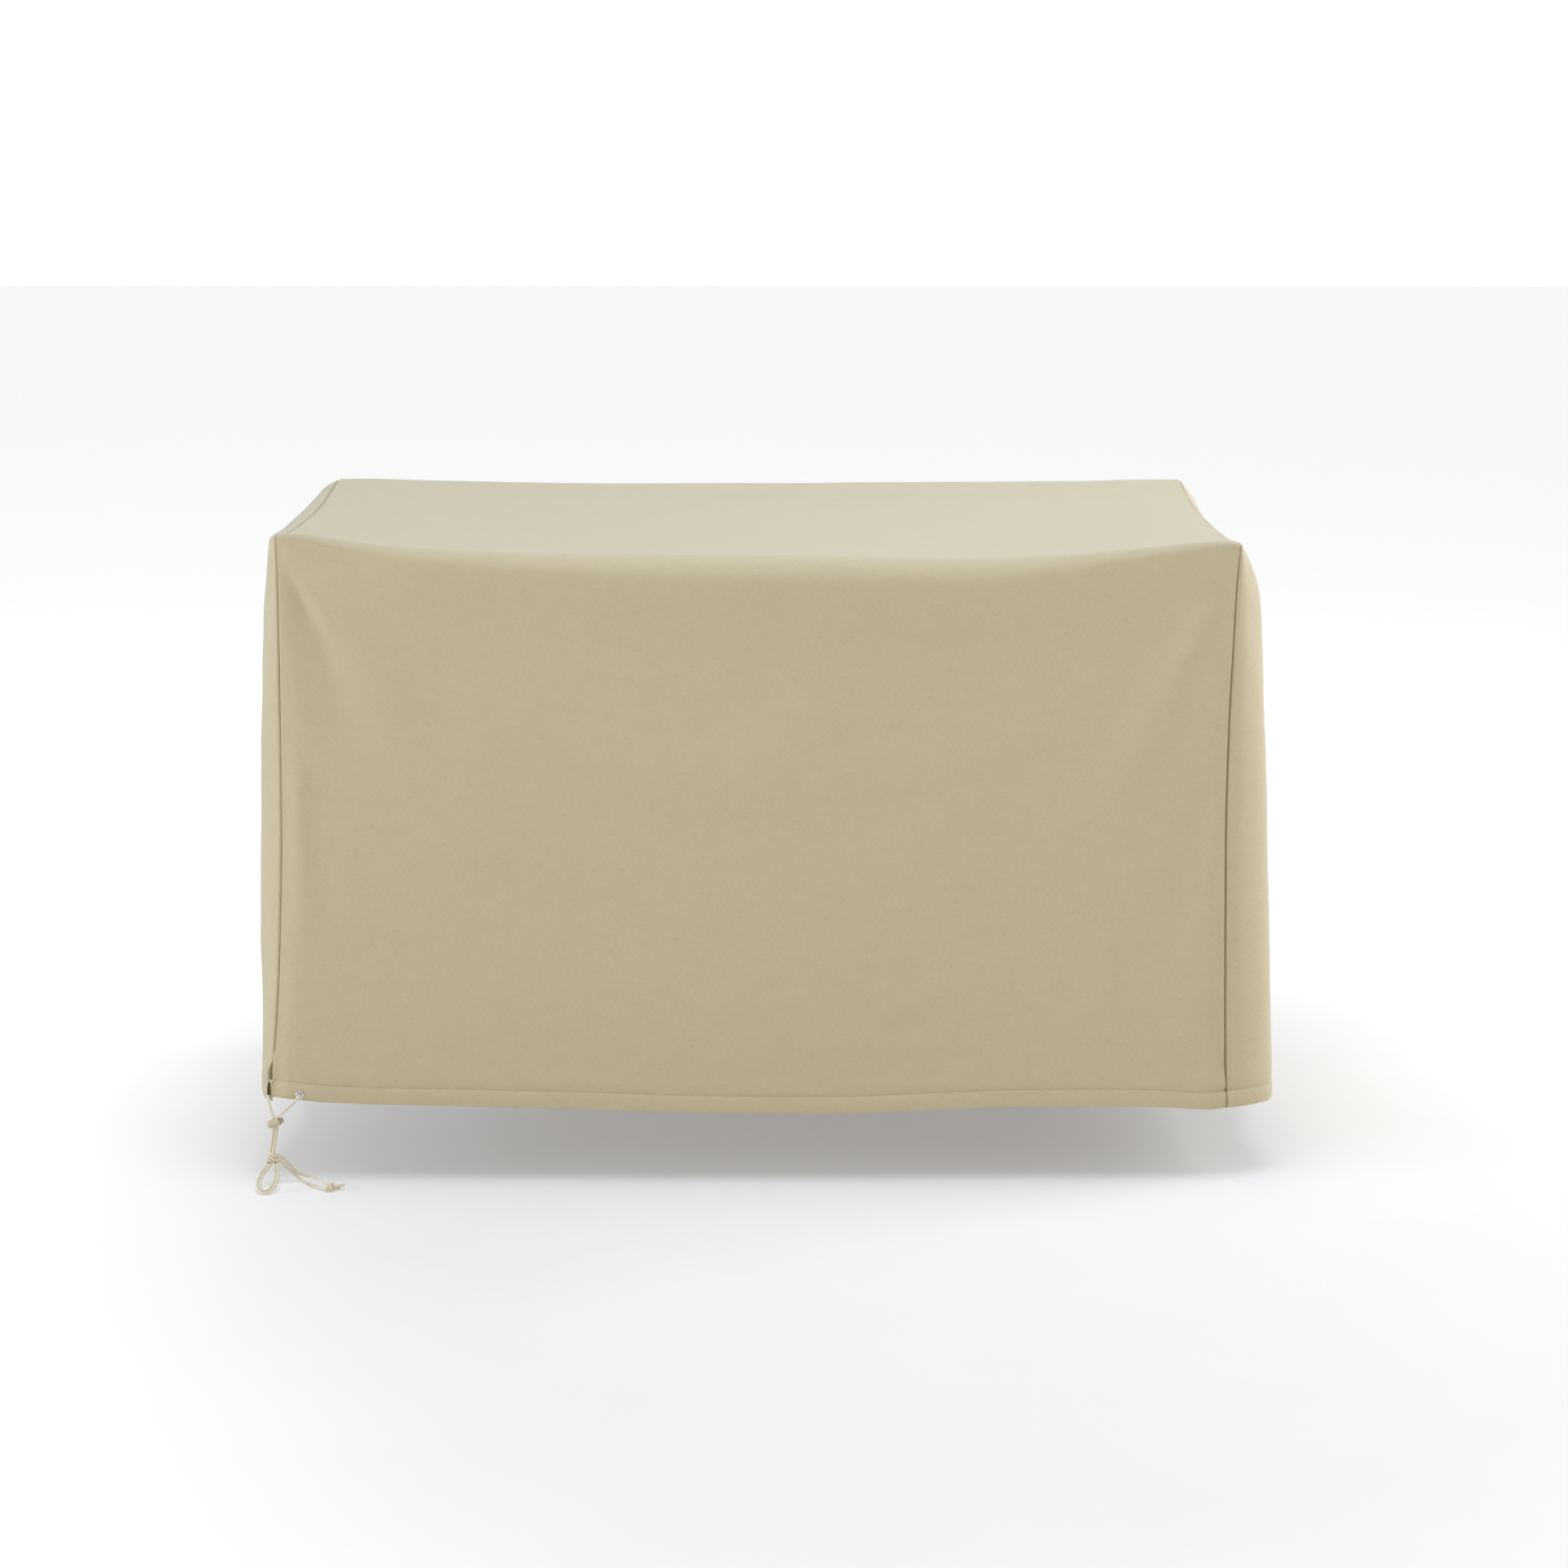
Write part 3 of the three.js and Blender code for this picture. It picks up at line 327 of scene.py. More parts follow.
def tube_mesh(line, closed=False, sides=20, radius=CORD / 2, start=0.0, taper=None):
    """Rings of a braided tube along a line of evenly spaced points."""
    n = len(line)
    if closed:
        ahead = np.roll(line, -1, 0) - np.roll(line, 1, 0)
    else:
        ahead = np.gradient(line, axis=0)
    ahead /= np.linalg.norm(ahead, axis=1)[:, None]
    frame_x = np.zeros_like(line)
    ref = np.array([0.0, 1.0, 0.0]) if abs(ahead[0][1]) < 0.9 else np.array([1.0, 0.0, 0.0])
    x = ref - ahead[0] * ref.dot(ahead[0])
    x /= np.linalg.norm(x)
    for i in range(n):
        x = x - ahead[i] * x.dot(ahead[i])
        x /= np.linalg.norm(x)
        frame_x[i] = x
    frame_y = np.cross(ahead, frame_x)
    far = start + np.concatenate([[0], np.cumsum(np.linalg.norm(np.diff(line, axis=0), axis=1))])
    theta = np.arange(sides) / sides * 2 * math.pi
    k = 2 * math.pi / BRAID_LONG
    th, s = theta[None, :], far[:, None]
    relief = np.cos(4 * th + k * s) * np.cos(4 * th - k * s)
    r = radius + BRAID_HIGH * relief
    if taper is not None:
        r = r * taper[:, None]
    verts = line[:, None, :] + r[..., None] * (np.cos(th)[..., None] * frame_x[:, None, :] + np.sin(th)[..., None] * frame_y[:, None, :])
    uv = np.stack(np.broadcast_arrays(th / (2 * math.pi), s * MM), -1)
    faces = []
    last = n if closed else n - 1
    for i in range(last):
        a, b = i * sides, ((i + 1) % n) * sides
        for j in range(sides):
            m = (j + 1) % sides
            faces.append((a + j, a + m, b + m, b + j))
    verts, uv = verts.reshape(-1, 3), uv.reshape(-1, 2)
    if not closed:
        verts = np.vstack([verts, line[0][None], line[-1][None]])
        uv = np.vstack([uv, [[0, far[0] * MM]], [[0, far[-1] * MM]]])
        a, b = n * sides, n * sides + 1
        base = (n - 1) * sides
        for j in range(sides):
            m = (j + 1) % sides
            faces.append((a, m, j))
            faces.append((b, base + j, base + m))
    return verts, faces, uv


def cord_piece(name, points, nodes, bare=False):
    line, length = smooth_route(points, 0.42)
    taper = None
    if bare:                       # the cut end, melted to a small blunt tip
        left = length - np.linspace(0, length, len(line))
        taper = np.clip(np.sqrt(np.clip(left / 1.3, 0.02, 1)), 0.1, 1)
    verts, faces, uv = tube_mesh(line, taper=taper)
    obj = mesh_object(name, verts, faces, CORD_MAT, uv)
    add_piece(obj, "cord", *nodes)
    return obj, line, length


# ---- the lock: a smooth bullet-shaped body with a slot through it, and its button
LOCK = dict(centre=(-677.6, -394.5, -792.1), tilt=20.0, radius=6.0, left=11.6, right=7.2, gap=0.4,
            plunger=3.8, reach=12.0, slot=9.8, slot_deep=6.0, slot_shift=0.25)


def lathe(section, sides, centre, axis):
    """A turned solid: section rows are radius and height along the axis."""
    axis = np.asarray(axis, float)
    axis /= np.linalg.norm(axis)
    ref = np.array([0.0, 1.0, 0.0]) if abs(axis[1]) < 0.9 else np.array([1.0, 0.0, 0.0])
    x = np.cross(ref, axis)
    x /= np.linalg.norm(x)
    y = np.cross(axis, x)
    th = np.arange(sides) / sides * 2 * math.pi
    ring = np.cos(th)[:, None] * x + np.sin(th)[:, None] * y
    verts, rows = [], []
    for r, h in section:
        base = np.asarray(centre, float) + axis * h
        if r < 1e-6:
            rows.append([len(verts)])
            verts.append(base)
        else:
            rows.append(list(range(len(verts), len(verts) + sides)))
            verts.extend(base + ring * r)
    faces = []
    for a, b in zip(rows, rows[1:]):
        for j in range(sides):
            m = (j + 1) % sides
            if len(a) == 1:
                faces.append((a[0], b[m], b[j]))
            elif len(b) == 1:
                faces.append((a[j], a[m], b[0]))
            else:
                faces.append((a[j], a[m], b[m], b[j]))
    return np.array(verts), faces


def rounded(section, steps=4, keep=0.42):
    """Rounds the inner corners of a lathe section."""
    pts = [np.array(p, float) for p in section]
    out = [pts[0]]
    for p, q, r in zip(pts, pts[1:], pts[2:]):
        a, b = q + (p - q) * keep, q + (r - q) * keep
        for i in range(steps + 1):
            s = i / steps
            out.append((1 - s) ** 2 * a + 2 * s * (1 - s) * q + s * s * b)
    out.append(pts[-1])
    return [tuple(p) for p in out]


def box_mesh(centre, size, turn=0.0):
    half = np.array(size) / 2
    corners = np.array([(x, y, z) for x in (-1, 1) for y in (-1, 1) for z in (-1, 1)], float) * half
    c, s = math.cos(turn), math.sin(turn)
    corners = np.stack([corners[:, 0] * c - corners[:, 2] * s, corners[:, 1], corners[:, 0] * s + corners[:, 2] * c], 1)
    faces = [(0, 1, 3, 2), (4, 6, 7, 5), (0, 4, 5, 1), (2, 3, 7, 6), (0, 2, 6, 4), (1, 5, 7, 3)]
    return corners + np.asarray(centre, float), faces


def cut(obj, verts, faces):
    """Takes a closed shape out of a piece and keeps the result as its mesh."""
    tool = mesh_object("tool", verts, faces, obj.data.materials[0], smooth=False)
    mod = obj.modifiers.new("cut", "BOOLEAN")
    mod.operation, mod.object, mod.solver = "DIFFERENCE", tool, "EXACT"
    dg = bpy.context.evaluated_depsgraph_get()
    made = bpy.data.meshes.new_from_object(obj.evaluated_get(dg))
    obj.modifiers.clear()
    obj.data = made
    bpy.data.objects.remove(tool)


def shade_by_angle(obj, degrees):
    bm = bmesh.new()
    bm.from_mesh(obj.data)
    for f in bm.faces:
        f.smooth = True
    for e in bm.edges:
        if len(e.link_faces) == 2:
            e.smooth = e.calc_face_angle(0) < math.radians(degrees)
    bm.to_mesh(obj.data)
    bm.free()


lock_axis = (math.cos(math.radians(LOCK["tilt"])), 0.0, math.sin(math.radians(LOCK["tilt"])))
body_rows = rounded([(r * LOCK["radius"], h) for r, h in [
    (0, -LOCK["left"]), (0.40, -LOCK["left"] + 0.05), (0.74, -LOCK["left"] + 1.3), (0.93, -LOCK["left"] + 3.5),
    (1.0, -LOCK["left"] + 6.6), (1.0, LOCK["right"] - 1.1), (0.86, LOCK["right"]), (0.0, LOCK["right"])]])
verts, faces = lathe(body_rows, 64, LOCK["centre"], lock_axis)
lock_body = mesh_object("lock_body", verts, faces, LOCK_MAT)
cut(lock_body, *box_mesh((LOCK["centre"][0] + LOCK["slot_shift"], LOCK["centre"][1], LOCK["centre"][2]),
                         (LOCK["slot"], LOCK["slot_deep"], 30.0)))
shade_by_angle(lock_body, 40)
add_piece(lock_body, "plastic", "cord_lock")

button_rows = rounded([(0, LOCK["right"] - 4.0), (LOCK["plunger"] - 0.5, LOCK["right"] - 4.0), (LOCK["plunger"], LOCK["right"] - 3.4),
                       (LOCK["plunger"], LOCK["reach"] - 0.9), (LOCK["plunger"] - 0.9, LOCK["reach"]),
                       (1.3, LOCK["reach"]), (1.0, LOCK["reach"] - 0.5), (0, LOCK["reach"] - 0.5)])
verts, faces = lathe(button_rows, 48, LOCK["centre"], lock_axis)
lock_button = mesh_object("lock_button", verts, faces, PLUNGER_MAT)
shade_by_angle(lock_button, 40)
add_piece(lock_button, "plastic", "cord_lock_plunger")


# ---- the knots: cord wound on itself, its ends tucked in
def wound(centre, axis, side, wide, deep, turns, spacing, phase, tilt=0.0):
    axis = np.asarray(axis, float) / np.linalg.norm(axis)
    side = np.asarray(side, float)
    side = side - axis * side.dot(axis)
    side /= np.linalg.norm(side)
    other = np.cross(axis, side)
    phi = np.linspace(0, turns * 2 * math.pi, int(26 * turns))
    left = np.minimum(phi, phi[-1] - phi) / 1.25
    k = 0.42 + 0.58 * np.clip(left, 0, 1) ** 0.8
    swell = 1 - 0.10 * ((phi / phi[-1] - 0.5) * 2) ** 2
    c, s = np.cos(phi + phase), np.sin(phi + phase)
    along = spacing * (phi / (2 * math.pi) - turns / 2) + tilt * c
    return (np.asarray(centre, float) + (k * swell * wide * c)[:, None] * side + (k * swell * deep * s)[:, None] * other
            + along[:, None] * axis)


def knot_piece(name, windings, core, nodes):
    verts, faces, uvs = [], [], []
    count = 0
    for i, points in enumerate(windings):
        line, _ = smooth_route(points, 0.5)
        v, f, uv = tube_mesh(line, sides=18, start=37.0 * i, radius=CORD / 2 - 0.06)
        verts.append(v)
        uvs.append(uv)
        faces += [tuple(j + count for j in face) for face in f]
        count += len(v)
    if core is not None:
        centre, axis, radii = core
        rows = [(math.sin(a) * radii[0], -math.cos(a) * radii[1]) for a in np.linspace(0, math.pi, 15)]
        rows[0], rows[-1] = (0, -radii[1]), (0, radii[1])
        v, f = lathe(rows, 32, (0, 0, 0), axis)
        v[:, 1] *= radii[2]
        spin = np.arctan2(v[:, 1], v[:, 0])
        v = v * (1 + 0.05 * np.cos(6 * spin + v[:, 2] * 1.6))[:, None] + np.asarray(centre, float)
        verts.append(v)
        uvs.append(np.stack([spin / (2 * math.pi), v[:, 2] * MM], 1))
        faces += [tuple(j + count for j in face) for face in f]
    obj = mesh_object(name, np.vstack(verts), faces, CORD_MAT, np.vstack(uvs))
    add_piece(obj, "cord", *nodes)
    return obj


UPPER = (-681.2, -397.2, -843.2)
LOWER = (-597.7, -435.4, -873.4)
lean = math.radians(35)
band = (math.cos(lean), 0.0, -math.sin(lean))          # the way the front band runs
bundle = (math.sin(lean), 0.0, math.cos(lean))
knot_upper = knot_piece("wound_knot_upper", [
    wound(UPPER, bundle, band, 6.9, 4.5, 2.55, 4.25, 2.2),
    wound((-680.2, -396.2, -844.8), (0.95, 0.1, -0.30), (0, 1, 0.2), 3.6, 5.6, 1.35, 4.0, 0.4),
], (UPPER, bundle, (5.4, 6.8, 0.62)), ("knot_upper",))
knot_lower = knot_piece("wound_knot_lower", [
    wound(LOWER, (0.98, 0.05, 0.12), (0, 1, 0), 4.7, 4.7, 2.9, 3.9, 3.4, 0.5),
], (LOWER, (0.98, 0.05, 0.12), (3.4, 5.6, 1.0)), ("knot_lower",))

# ---- the strands
front_rows = [
    (-643.4, -380.6, -753.2), (-643.4, -385.0, -753.4), (-643.7, -392.0, -754.6), (-647.4, -396.4, -758.8),
    (-656.0, -398.2, -767.0), (-666.0, -398.6, -776.6), (-672.0, -397.4, -781.4), (-675.2, -395.0, -785.4),
    (-675.6, -394.5, -790.6), (-675.3, -394.5, -794.6), (-675.5, -394.6, -801.0), (-676.8, -395.4, -811.0),
    (-679.0, -396.6, -824.0), (-680.7, -397.2, -833.6), (-680.8, -397.4, -837.0), (-682.0, -397.2, -845.0),
]
side_rows = [
    (-687.9, -382.0, -756.2), (-687.6, -384.4, -760.6), (-687.0, -386.6, -764.6), (-685.2, -388.4, -770.6),
    (-682.2, -391.2, -779.3), (-680.2, -393.6, -785.6), (-679.9, -394.5, -790.0), (-679.7, -394.5, -794.6),
    (-679.9, -394.5, -801.0), (-681.3, -394.4, -811.0), (-683.6, -394.8, -824.0), (-685.3, -395.6, -833.6),
    (-685.4, -396.0, -837.0), (-684.4, -396.8, -845.0),
]
LOOP_TOP, LOOP_LOW = np.array([-681.9, -399.6, -849.8]), np.array([-688.4, -453.0, -878.1])
loop_outer = [(-7.0, 3.4), (-2.0, 6.5), (9.0, 8.6), (21.0, 12.2), (34.5, 13.6), (47.0, 11.8), (56.4, 6.4), (59.4, 0.0)]
loop_inner = [(-7.0, 1.4), (-2.0, 2.2), (9.0, 4.2), (21.0, 7.7), (34.5, 9.1), (45.2, 7.6), (52.6, 4.0), (54.9, 0.0)]


def loop_rows(half):
    down = (LOOP_LOW - LOOP_TOP) / np.linalg.norm(LOOP_LOW - LOOP_TOP)
    across = np.array([1.0, 0.0, 0.0]) - down * down[0]
    across /= np.linalg.norm(across)
    at = [LOOP_TOP + down * a - across * o for a, o in half]
    return at + [LOOP_TOP + down * a + across * o for a, o in half[-2::-1]]


tail_a = [
    (-681.0, -397.4, -838.6), (-676.4, -397.0, -838.2), (-672.2, -396.6, -839.4), (-668.2, -395.4, -842.4),
    (-661.0, -393.0, -851.2), (-653.6, -389.5, -861.4), (-648.0, -387.6, -867.2), (-641.4, -388.6, -869.6),
    (-629.3, -398.0, -868.6), (-616.6, -412.0, -869.2), (-606.4, -428.0, -870.6), (-603.4, -432.0, -871.2),
    (-598.0, -434.4, -872.4), (-592.6, -433.6, -874.0), (-589.4, -430.8, -873.6), (-584.6, -426.6, -873.8),
    (-579.4, -421.4, -874.4),
]
tail_b = [
    (-681.4, -397.4, -841.8), (-676.8, -397.2, -843.0), (-674.0, -397.0, -844.4), (-670.8, -396.4, -847.4),
    (-664.0, -393.6, -856.8), (-657.2, -390.8, -864.4), (-650.6, -388.8, -870.6), (-646.2, -388.9, -875.2),
    (-639.8, -393.4, -878.2), (-624.5, -415.6, -878.4), (-612.3, -427.6, -878.0), (-605.4, -433.6, -876.6),
    (-602.8, -435.6, -876.0), (-598.4, -433.4, -875.6), (-593.8, -430.2, -876.4), (-591.6, -427.6, -877.2),
    (-588.4, -423.9, -878.2), (-585.2, -420.6, -878.4),
]

obj, line, length = cord_piece("drawcord_front", front_rows, ("cord_front", "cord_pair_right"))
obj, line, length = cord_piece("drawcord_side", side_rows, ("cord_side", "cord_pair_left"))
rows = loop_rows(loop_outer)
obj, line, length = cord_piece("drawcord_loop_outer", rows, ("cord_loop_outer",))
rows = loop_rows(loop_inner)
obj, line, length = cord_piece("drawcord_loop_inner", rows, ("cord_loop_inner",))
obj, line, length = cord_piece("drawcord_tail_a", tail_a, ("cord_tail_upper", "cord_end_long"), bare=True)
obj, line, length = cord_piece("drawcord_tail_b", tail_b, ("cord_tail_lower", "cord_end_short"), bare=True)

# ---------------------------------------------------------------- shape of the cover
# the same tables as the frame's: heights and places of the folds, the hem line,
# the upright corners and how far each end stands out
def table(columns, rows):
    names = columns.split()
    return {n: np.array([r[i] for r in rows]) for i, n in enumerate(names)}


FRONT = table("across fold round foldY hem hemY", [
    (0, 32, 7, -383, -758.6, -385),
    (0.02, 33, 8, -384, -760.3, -387),
    (0.055, 26.5, 10, -384, -765, -388),
    (0.1, 18.8, 13, -383, -767.9, -388),
    (0.18, 10.8, 17, -381, -770, -389),
    (0.3, 4.4, 20, -379, -773.3, -390),
    (0.44, 2.6, 22, -378, -778.8, -392),
    (0.58, 0.8, 22, -377, -780.8, -391),
    (0.72, -1.2, 22, -378, -774.6, -388),
    (0.81, 3, 18, -380, -771.6, -387),
    (0.89, 11.6, 12, -382, -771.6, -387),
    (0.935, 17.6, 10, -383, -773, -387),
    (0.98, 22, 8, -384, -776.3, -387),
    (1, 20.5, 7, -383, -774.8, -385),
])
BACK = table("across fold round foldY hem hemY", [
    (0, 32.4, 7, 383, -768, 387),
    (0.03, 32.8, 8, 384, -770, 389),
    (0.12, 30.5, 10, 383, -773, 391),
    (0.3, 27, 14, 381, -777, 393),
    (0.5, 27.4, 15, 380, -780, 392),
    (0.7, 29, 14, 381, -776, 390),
    (0.88, 29.8, 10, 383, -773, 389),
    (0.97, 32.2, 8, 384, -774, 389),
    (1, 32, 7, 383, -771, 387),
])
UPRIGHT = table("z leftFront rightFront leftBack rightBack", [
    (-790, -681.4, 656.2, -669, 666),
    (-740, -680.8, 655, -668, 665),
    (-700, -679.6, 653.8, -667, 664),
    (-655, -675.5, 652.5, -665, 662),
    (-585, -670.4, 651, -662, 660),
    (-478, -665.3, 649.2, -658, 657),
    (-373, -661.7, 647.6, -656, 655),
    (-233, -660, 648.6, -655, 654),
    (-147, -658.9, 651.2, -656, 655),
    (-50, -658.6, 654.8, -658, 657),
    (32, -660, 660, -660, 660),
])
TOP_END = table("deep leftZ leftX rightZ rightX", [
    (0, 32, -660, 20.5, 660),
    (0.05, 27, -659.4, 18.4, 658.6),
    (0.13, 21.6, -659, 14.2, 657.4),
    (0.25, 18, -659, 11.4, 657),
    (0.42, 15.4, -659.4, 9.8, 657),
    (0.57, 15.2, -659.8, 10, 657.4),
    (0.7, 17.2, -660, 12.2, 657.8),
    (0.82, 22.4, -660, 17, 658.4),
    (0.92, 29.4, -660, 24.6, 659.2),
    (1, 32.4, -660, 32, 660),
])
STAND_OUT = table("drop left right", [
    (0, 0, 0),
    (2, 7, 1.6),
    (5, 9.5, 5.2),
    (15, 11, 14.8),
    (35, 14, 25.5),
    (70, 18.3, 37),
    (120, 24.3, 45),
    (190, 32, 53),
    (290, 36.3, 60.4),
    (420, 37.6, 66.2),
    (560, 35.6, 69.7),
    (670, 28, 71.7),
    (740, 24, 72.4),
    (800, 24, 71),
])
BUILD_UP = table("from left right", [
    (0, 0, 0),
    (7, 0.2, 0.29),
    (16, 0.42, 0.51),
    (28, 0.64, 0.74),
    (46, 0.86, 0.93),
    (75, 0.98, 1),
    (130, 1, 0.98),
    (260, 0.86, 0.88),
    (400, 0.8, 0.84),
])
SHOULDER = table("deep out", [
    (0, 0),
    (0.06, 4.5),
    (0.14, 12),
    (0.24, 15.5),
    (0.36, 17),
    (0.48, 17.5),
    (0.6, 17),
    (0.72, 14.5),
    (0.84, 9.5),
    (0.94, 4.5),
    (1, 0),
])
FRONT_FOLDS = table("x0 z0 x1 z1 high wide0 wide1", [
    (-655, 5, -530, -320, -6, 8, 30),
    (-640, 10, -450, -250, 4.5, 8, 34),
    (652, 4, 420, -480, 5, 7, 32),
    (640, -250, 560, -620, -3, 14, 30),
    (-420, -420, -120, -560, -3, 26, 30),
    (120, -180, -60, -330, 2.5, 30, 34),
])
END_FOLDS = table("side top bottom high wide", [
    ("left", 0.3, 0.36, -8, 0.07),
    ("left", 0.55, 0.62, 7, 0.08),
    ("left", 0.76, 0.72, -6, 0.06),
    ("right", 0.26, 0.22, -7, 0.06),
    ("right", 0.48, 0.44, 6, 0.08),
    ("right", 0.74, 0.8, -8, 0.07),
])
END_HEM = table("deep left right", [
    (0, 0, 0),
    (0.03, 1.5, 0),
    (0.06, 3, -0.5),
    (0.25, -2, 1),
    (0.5, -5, 0),
    (0.75, -4, -2),
    (1, 0, 0),
])

LOW, CLOTH = 60.0, 1.5
SLIT_HEIGHT, SLIT_OPENS, SLIT_WIDTH, SLIT_DROP = 58.0, 24.0, 7.5, 5.0


def read(tab, by, column, at):
    """A table's column at a place between its rows, by a curve with no overshoot."""
    xs, ys = tab[by], tab[column]
    if xs[-1] < xs[0]:
        xs, ys = xs[::-1], ys[::-1]
    h = np.diff(xs)
    d = np.diff(ys) / h
    m = np.zeros(len(xs))
    m[0], m[-1] = d[0], d[-1]
    a, b = d[:-1], d[1:]
    both = np.where(a + b == 0, 1, a + b)
    m[1:-1] = np.where(a * b <= 0, 0, 2 * a * b / both)
    at = np.clip(np.asarray(at, float), xs[0], xs[-1])
    i = np.clip(np.searchsorted(xs, at, side="right") - 1, 0, len(xs) - 2)
    s = (at - xs[i]) / h[i]
    s2, s3 = s * s, s * s * s
    return ((2 * s3 - 3 * s2 + 1) * ys[i] + (s3 - 2 * s2 + s) * h[i] * m[i]
            + (3 * s2 - 2 * s3) * ys[i + 1] + (s3 - s2) * h[i] * m[i + 1])


def mix(a, b, s):
    return a + (b - a) * s


def smooth(s):
    k = np.clip(s, 0, 1)
    return k * k * (3 - 2 * k)


def bell(s):
    return np.exp(-0.5 * s * s)


def front_folds(x, z):
    out = np.zeros(np.broadcast(x, z).shape)
    f = FRONT_FOLDS
    for i in range(len(f["x0"])):
        dx, dz = f["x1"][i] - f["x0"][i], f["z1"][i] - f["z0"][i]
        run = dx * dx + dz * dz
        s = ((x - f["x0"][i]) * dx + (z - f["z0"][i]) * dz) / run
        off = ((x - f["x0"][i]) * dz - (z - f["z0"][i]) * dx) / math.sqrt(run)
        wide = mix(f["wide0"][i], f["wide1"][i], np.clip(s, 0, 1))
        v = f["high"][i] * bell(off / wide) * smooth(s / 0.25) * smooth((1 - s) / 0.45)
        out = out + np.where((s <= 0) | (s >= 1), 0, v)
    return out


def drop(tab, across, t, sign):
    """The front or the back, from its hem up to where it starts to turn over the top."""
    fold, rnd, fold_y = (read(tab, "across", k, across) for k in ("fold", "round", "foldY"))
    hem, hem_y = read(tab, "across", "hem", across), read(tab, "across", "hemY", across)
    height = fold - rnd * (1 + (rnd - 7) / 30) - hem
    rise = np.where(t <= 0.1, (t / 0.1) * LOW, mix(LOW, height, (t - 0.1) / 0.9))
    z = hem + rise
    where = ("leftFront", "rightFront") if sign < 0 else ("leftBack", "rightBack")
    left, right_ = read(UPRIGHT, "z", where[0], z), read(UPRIGHT, "z", where[1], z)
    x = mix(left, right_, across)
    y = mix(hem_y, fold_y, smooth(rise / height))
    edge = np.minimum(across, 1 - across) * (right_ - left)
    turn_in = np.where(across < 0.5, 5, 3) * smooth((-z - 120) / 260)
    y = y - sign * turn_in * (1 - smooth(edge / 24))
    if sign < 0:
        y = y - front_folds(x, z) * smooth(edge / 30) * smooth((rise - 70) / 60)
    return x, y, z


def top_z(across, deep):
    f0, f1 = FRONT["fold"][0], FRONT["fold"][-1]
    b0, b1 = BACK["fold"][0], BACK["fold"][-1]
    return (mix(read(FRONT, "across", "fold", across), read(BACK, "across", "fold", across), deep)
            + mix(read(TOP_END, "deep", "leftZ", deep), read(TOP_END, "deep", "rightZ", deep), across)
            - mix(mix(f0, f1, across), mix(b0, b1, across), deep))


LIFT = CLOTH / 2 - float(top_z(0.5, 0.5))


def top(across, deep):
    y_front = read(FRONT, "across", "foldY", across) + read(FRONT, "across", "round", across)
    y_back = read(BACK, "across", "foldY", across) - read(BACK, "across", "round", across)
    left, right_ = read(TOP_END, "deep", "leftX", deep), read(TOP_END, "deep", "rightX", deep)
    return (mix(left, right_, across), mix(y_front, y_back, deep),
            top_z(across, deep) + LIFT * 16 * across * (1 - across) * deep * (1 - deep))


def long_panel(across, t):
    """Front 0 to 1, round 1 to 2, top 2 to 3, round 3 to 4, back 4 to 5."""
    across, t = np.broadcast_arrays(np.asarray(across, float), np.asarray(t, float))
    out = np.zeros(across.shape + (3,))

    def put(where, xyz):
        for k in range(3):
            out[..., k] = np.where(where, xyz[k], out[..., k])

    put(t <= 1, drop(FRONT, across, np.clip(t, 0, 1), -1))
    put(t >= 4, drop(BACK, across, np.clip(5 - t, 0, 1), 1))
    put((t >= 2) & (t <= 3), top(across, np.clip(t - 2, 0, 1)))
    for front in (True, False):
        end = drop(FRONT if front else BACK, across, np.ones_like(t), -1 if front else 1)
        flat = top(across, np.zeros_like(t) if front else np.ones_like(t))
        turn_ = np.clip(t - 1 if front else 4 - t, 0, 1) * math.pi / 2
        where = (t > 1) & (t < 2) if front else (t > 3) & (t < 4)
        put(where, (mix(end[0], flat[0], np.sin(turn_)), mix(end[1], flat[1], 1 - np.cos(turn_)), mix(end[2], flat[2], np.sin(turn_))))
    return out


def stand_out(which, below, from_front, from_back):
    near = np.minimum(from_front, from_back)
    out = read(STAND_OUT, "drop", which, below) * read(BUILD_UP, "from", which, near)
    if which == "left":
        out = out + (read(SHOULDER, "deep", "out", from_front / (from_front + from_back))
                     * (1 - np.exp(-np.maximum(below, 0) / 2.2)) * (1 - smooth(below / 240)))
    return out


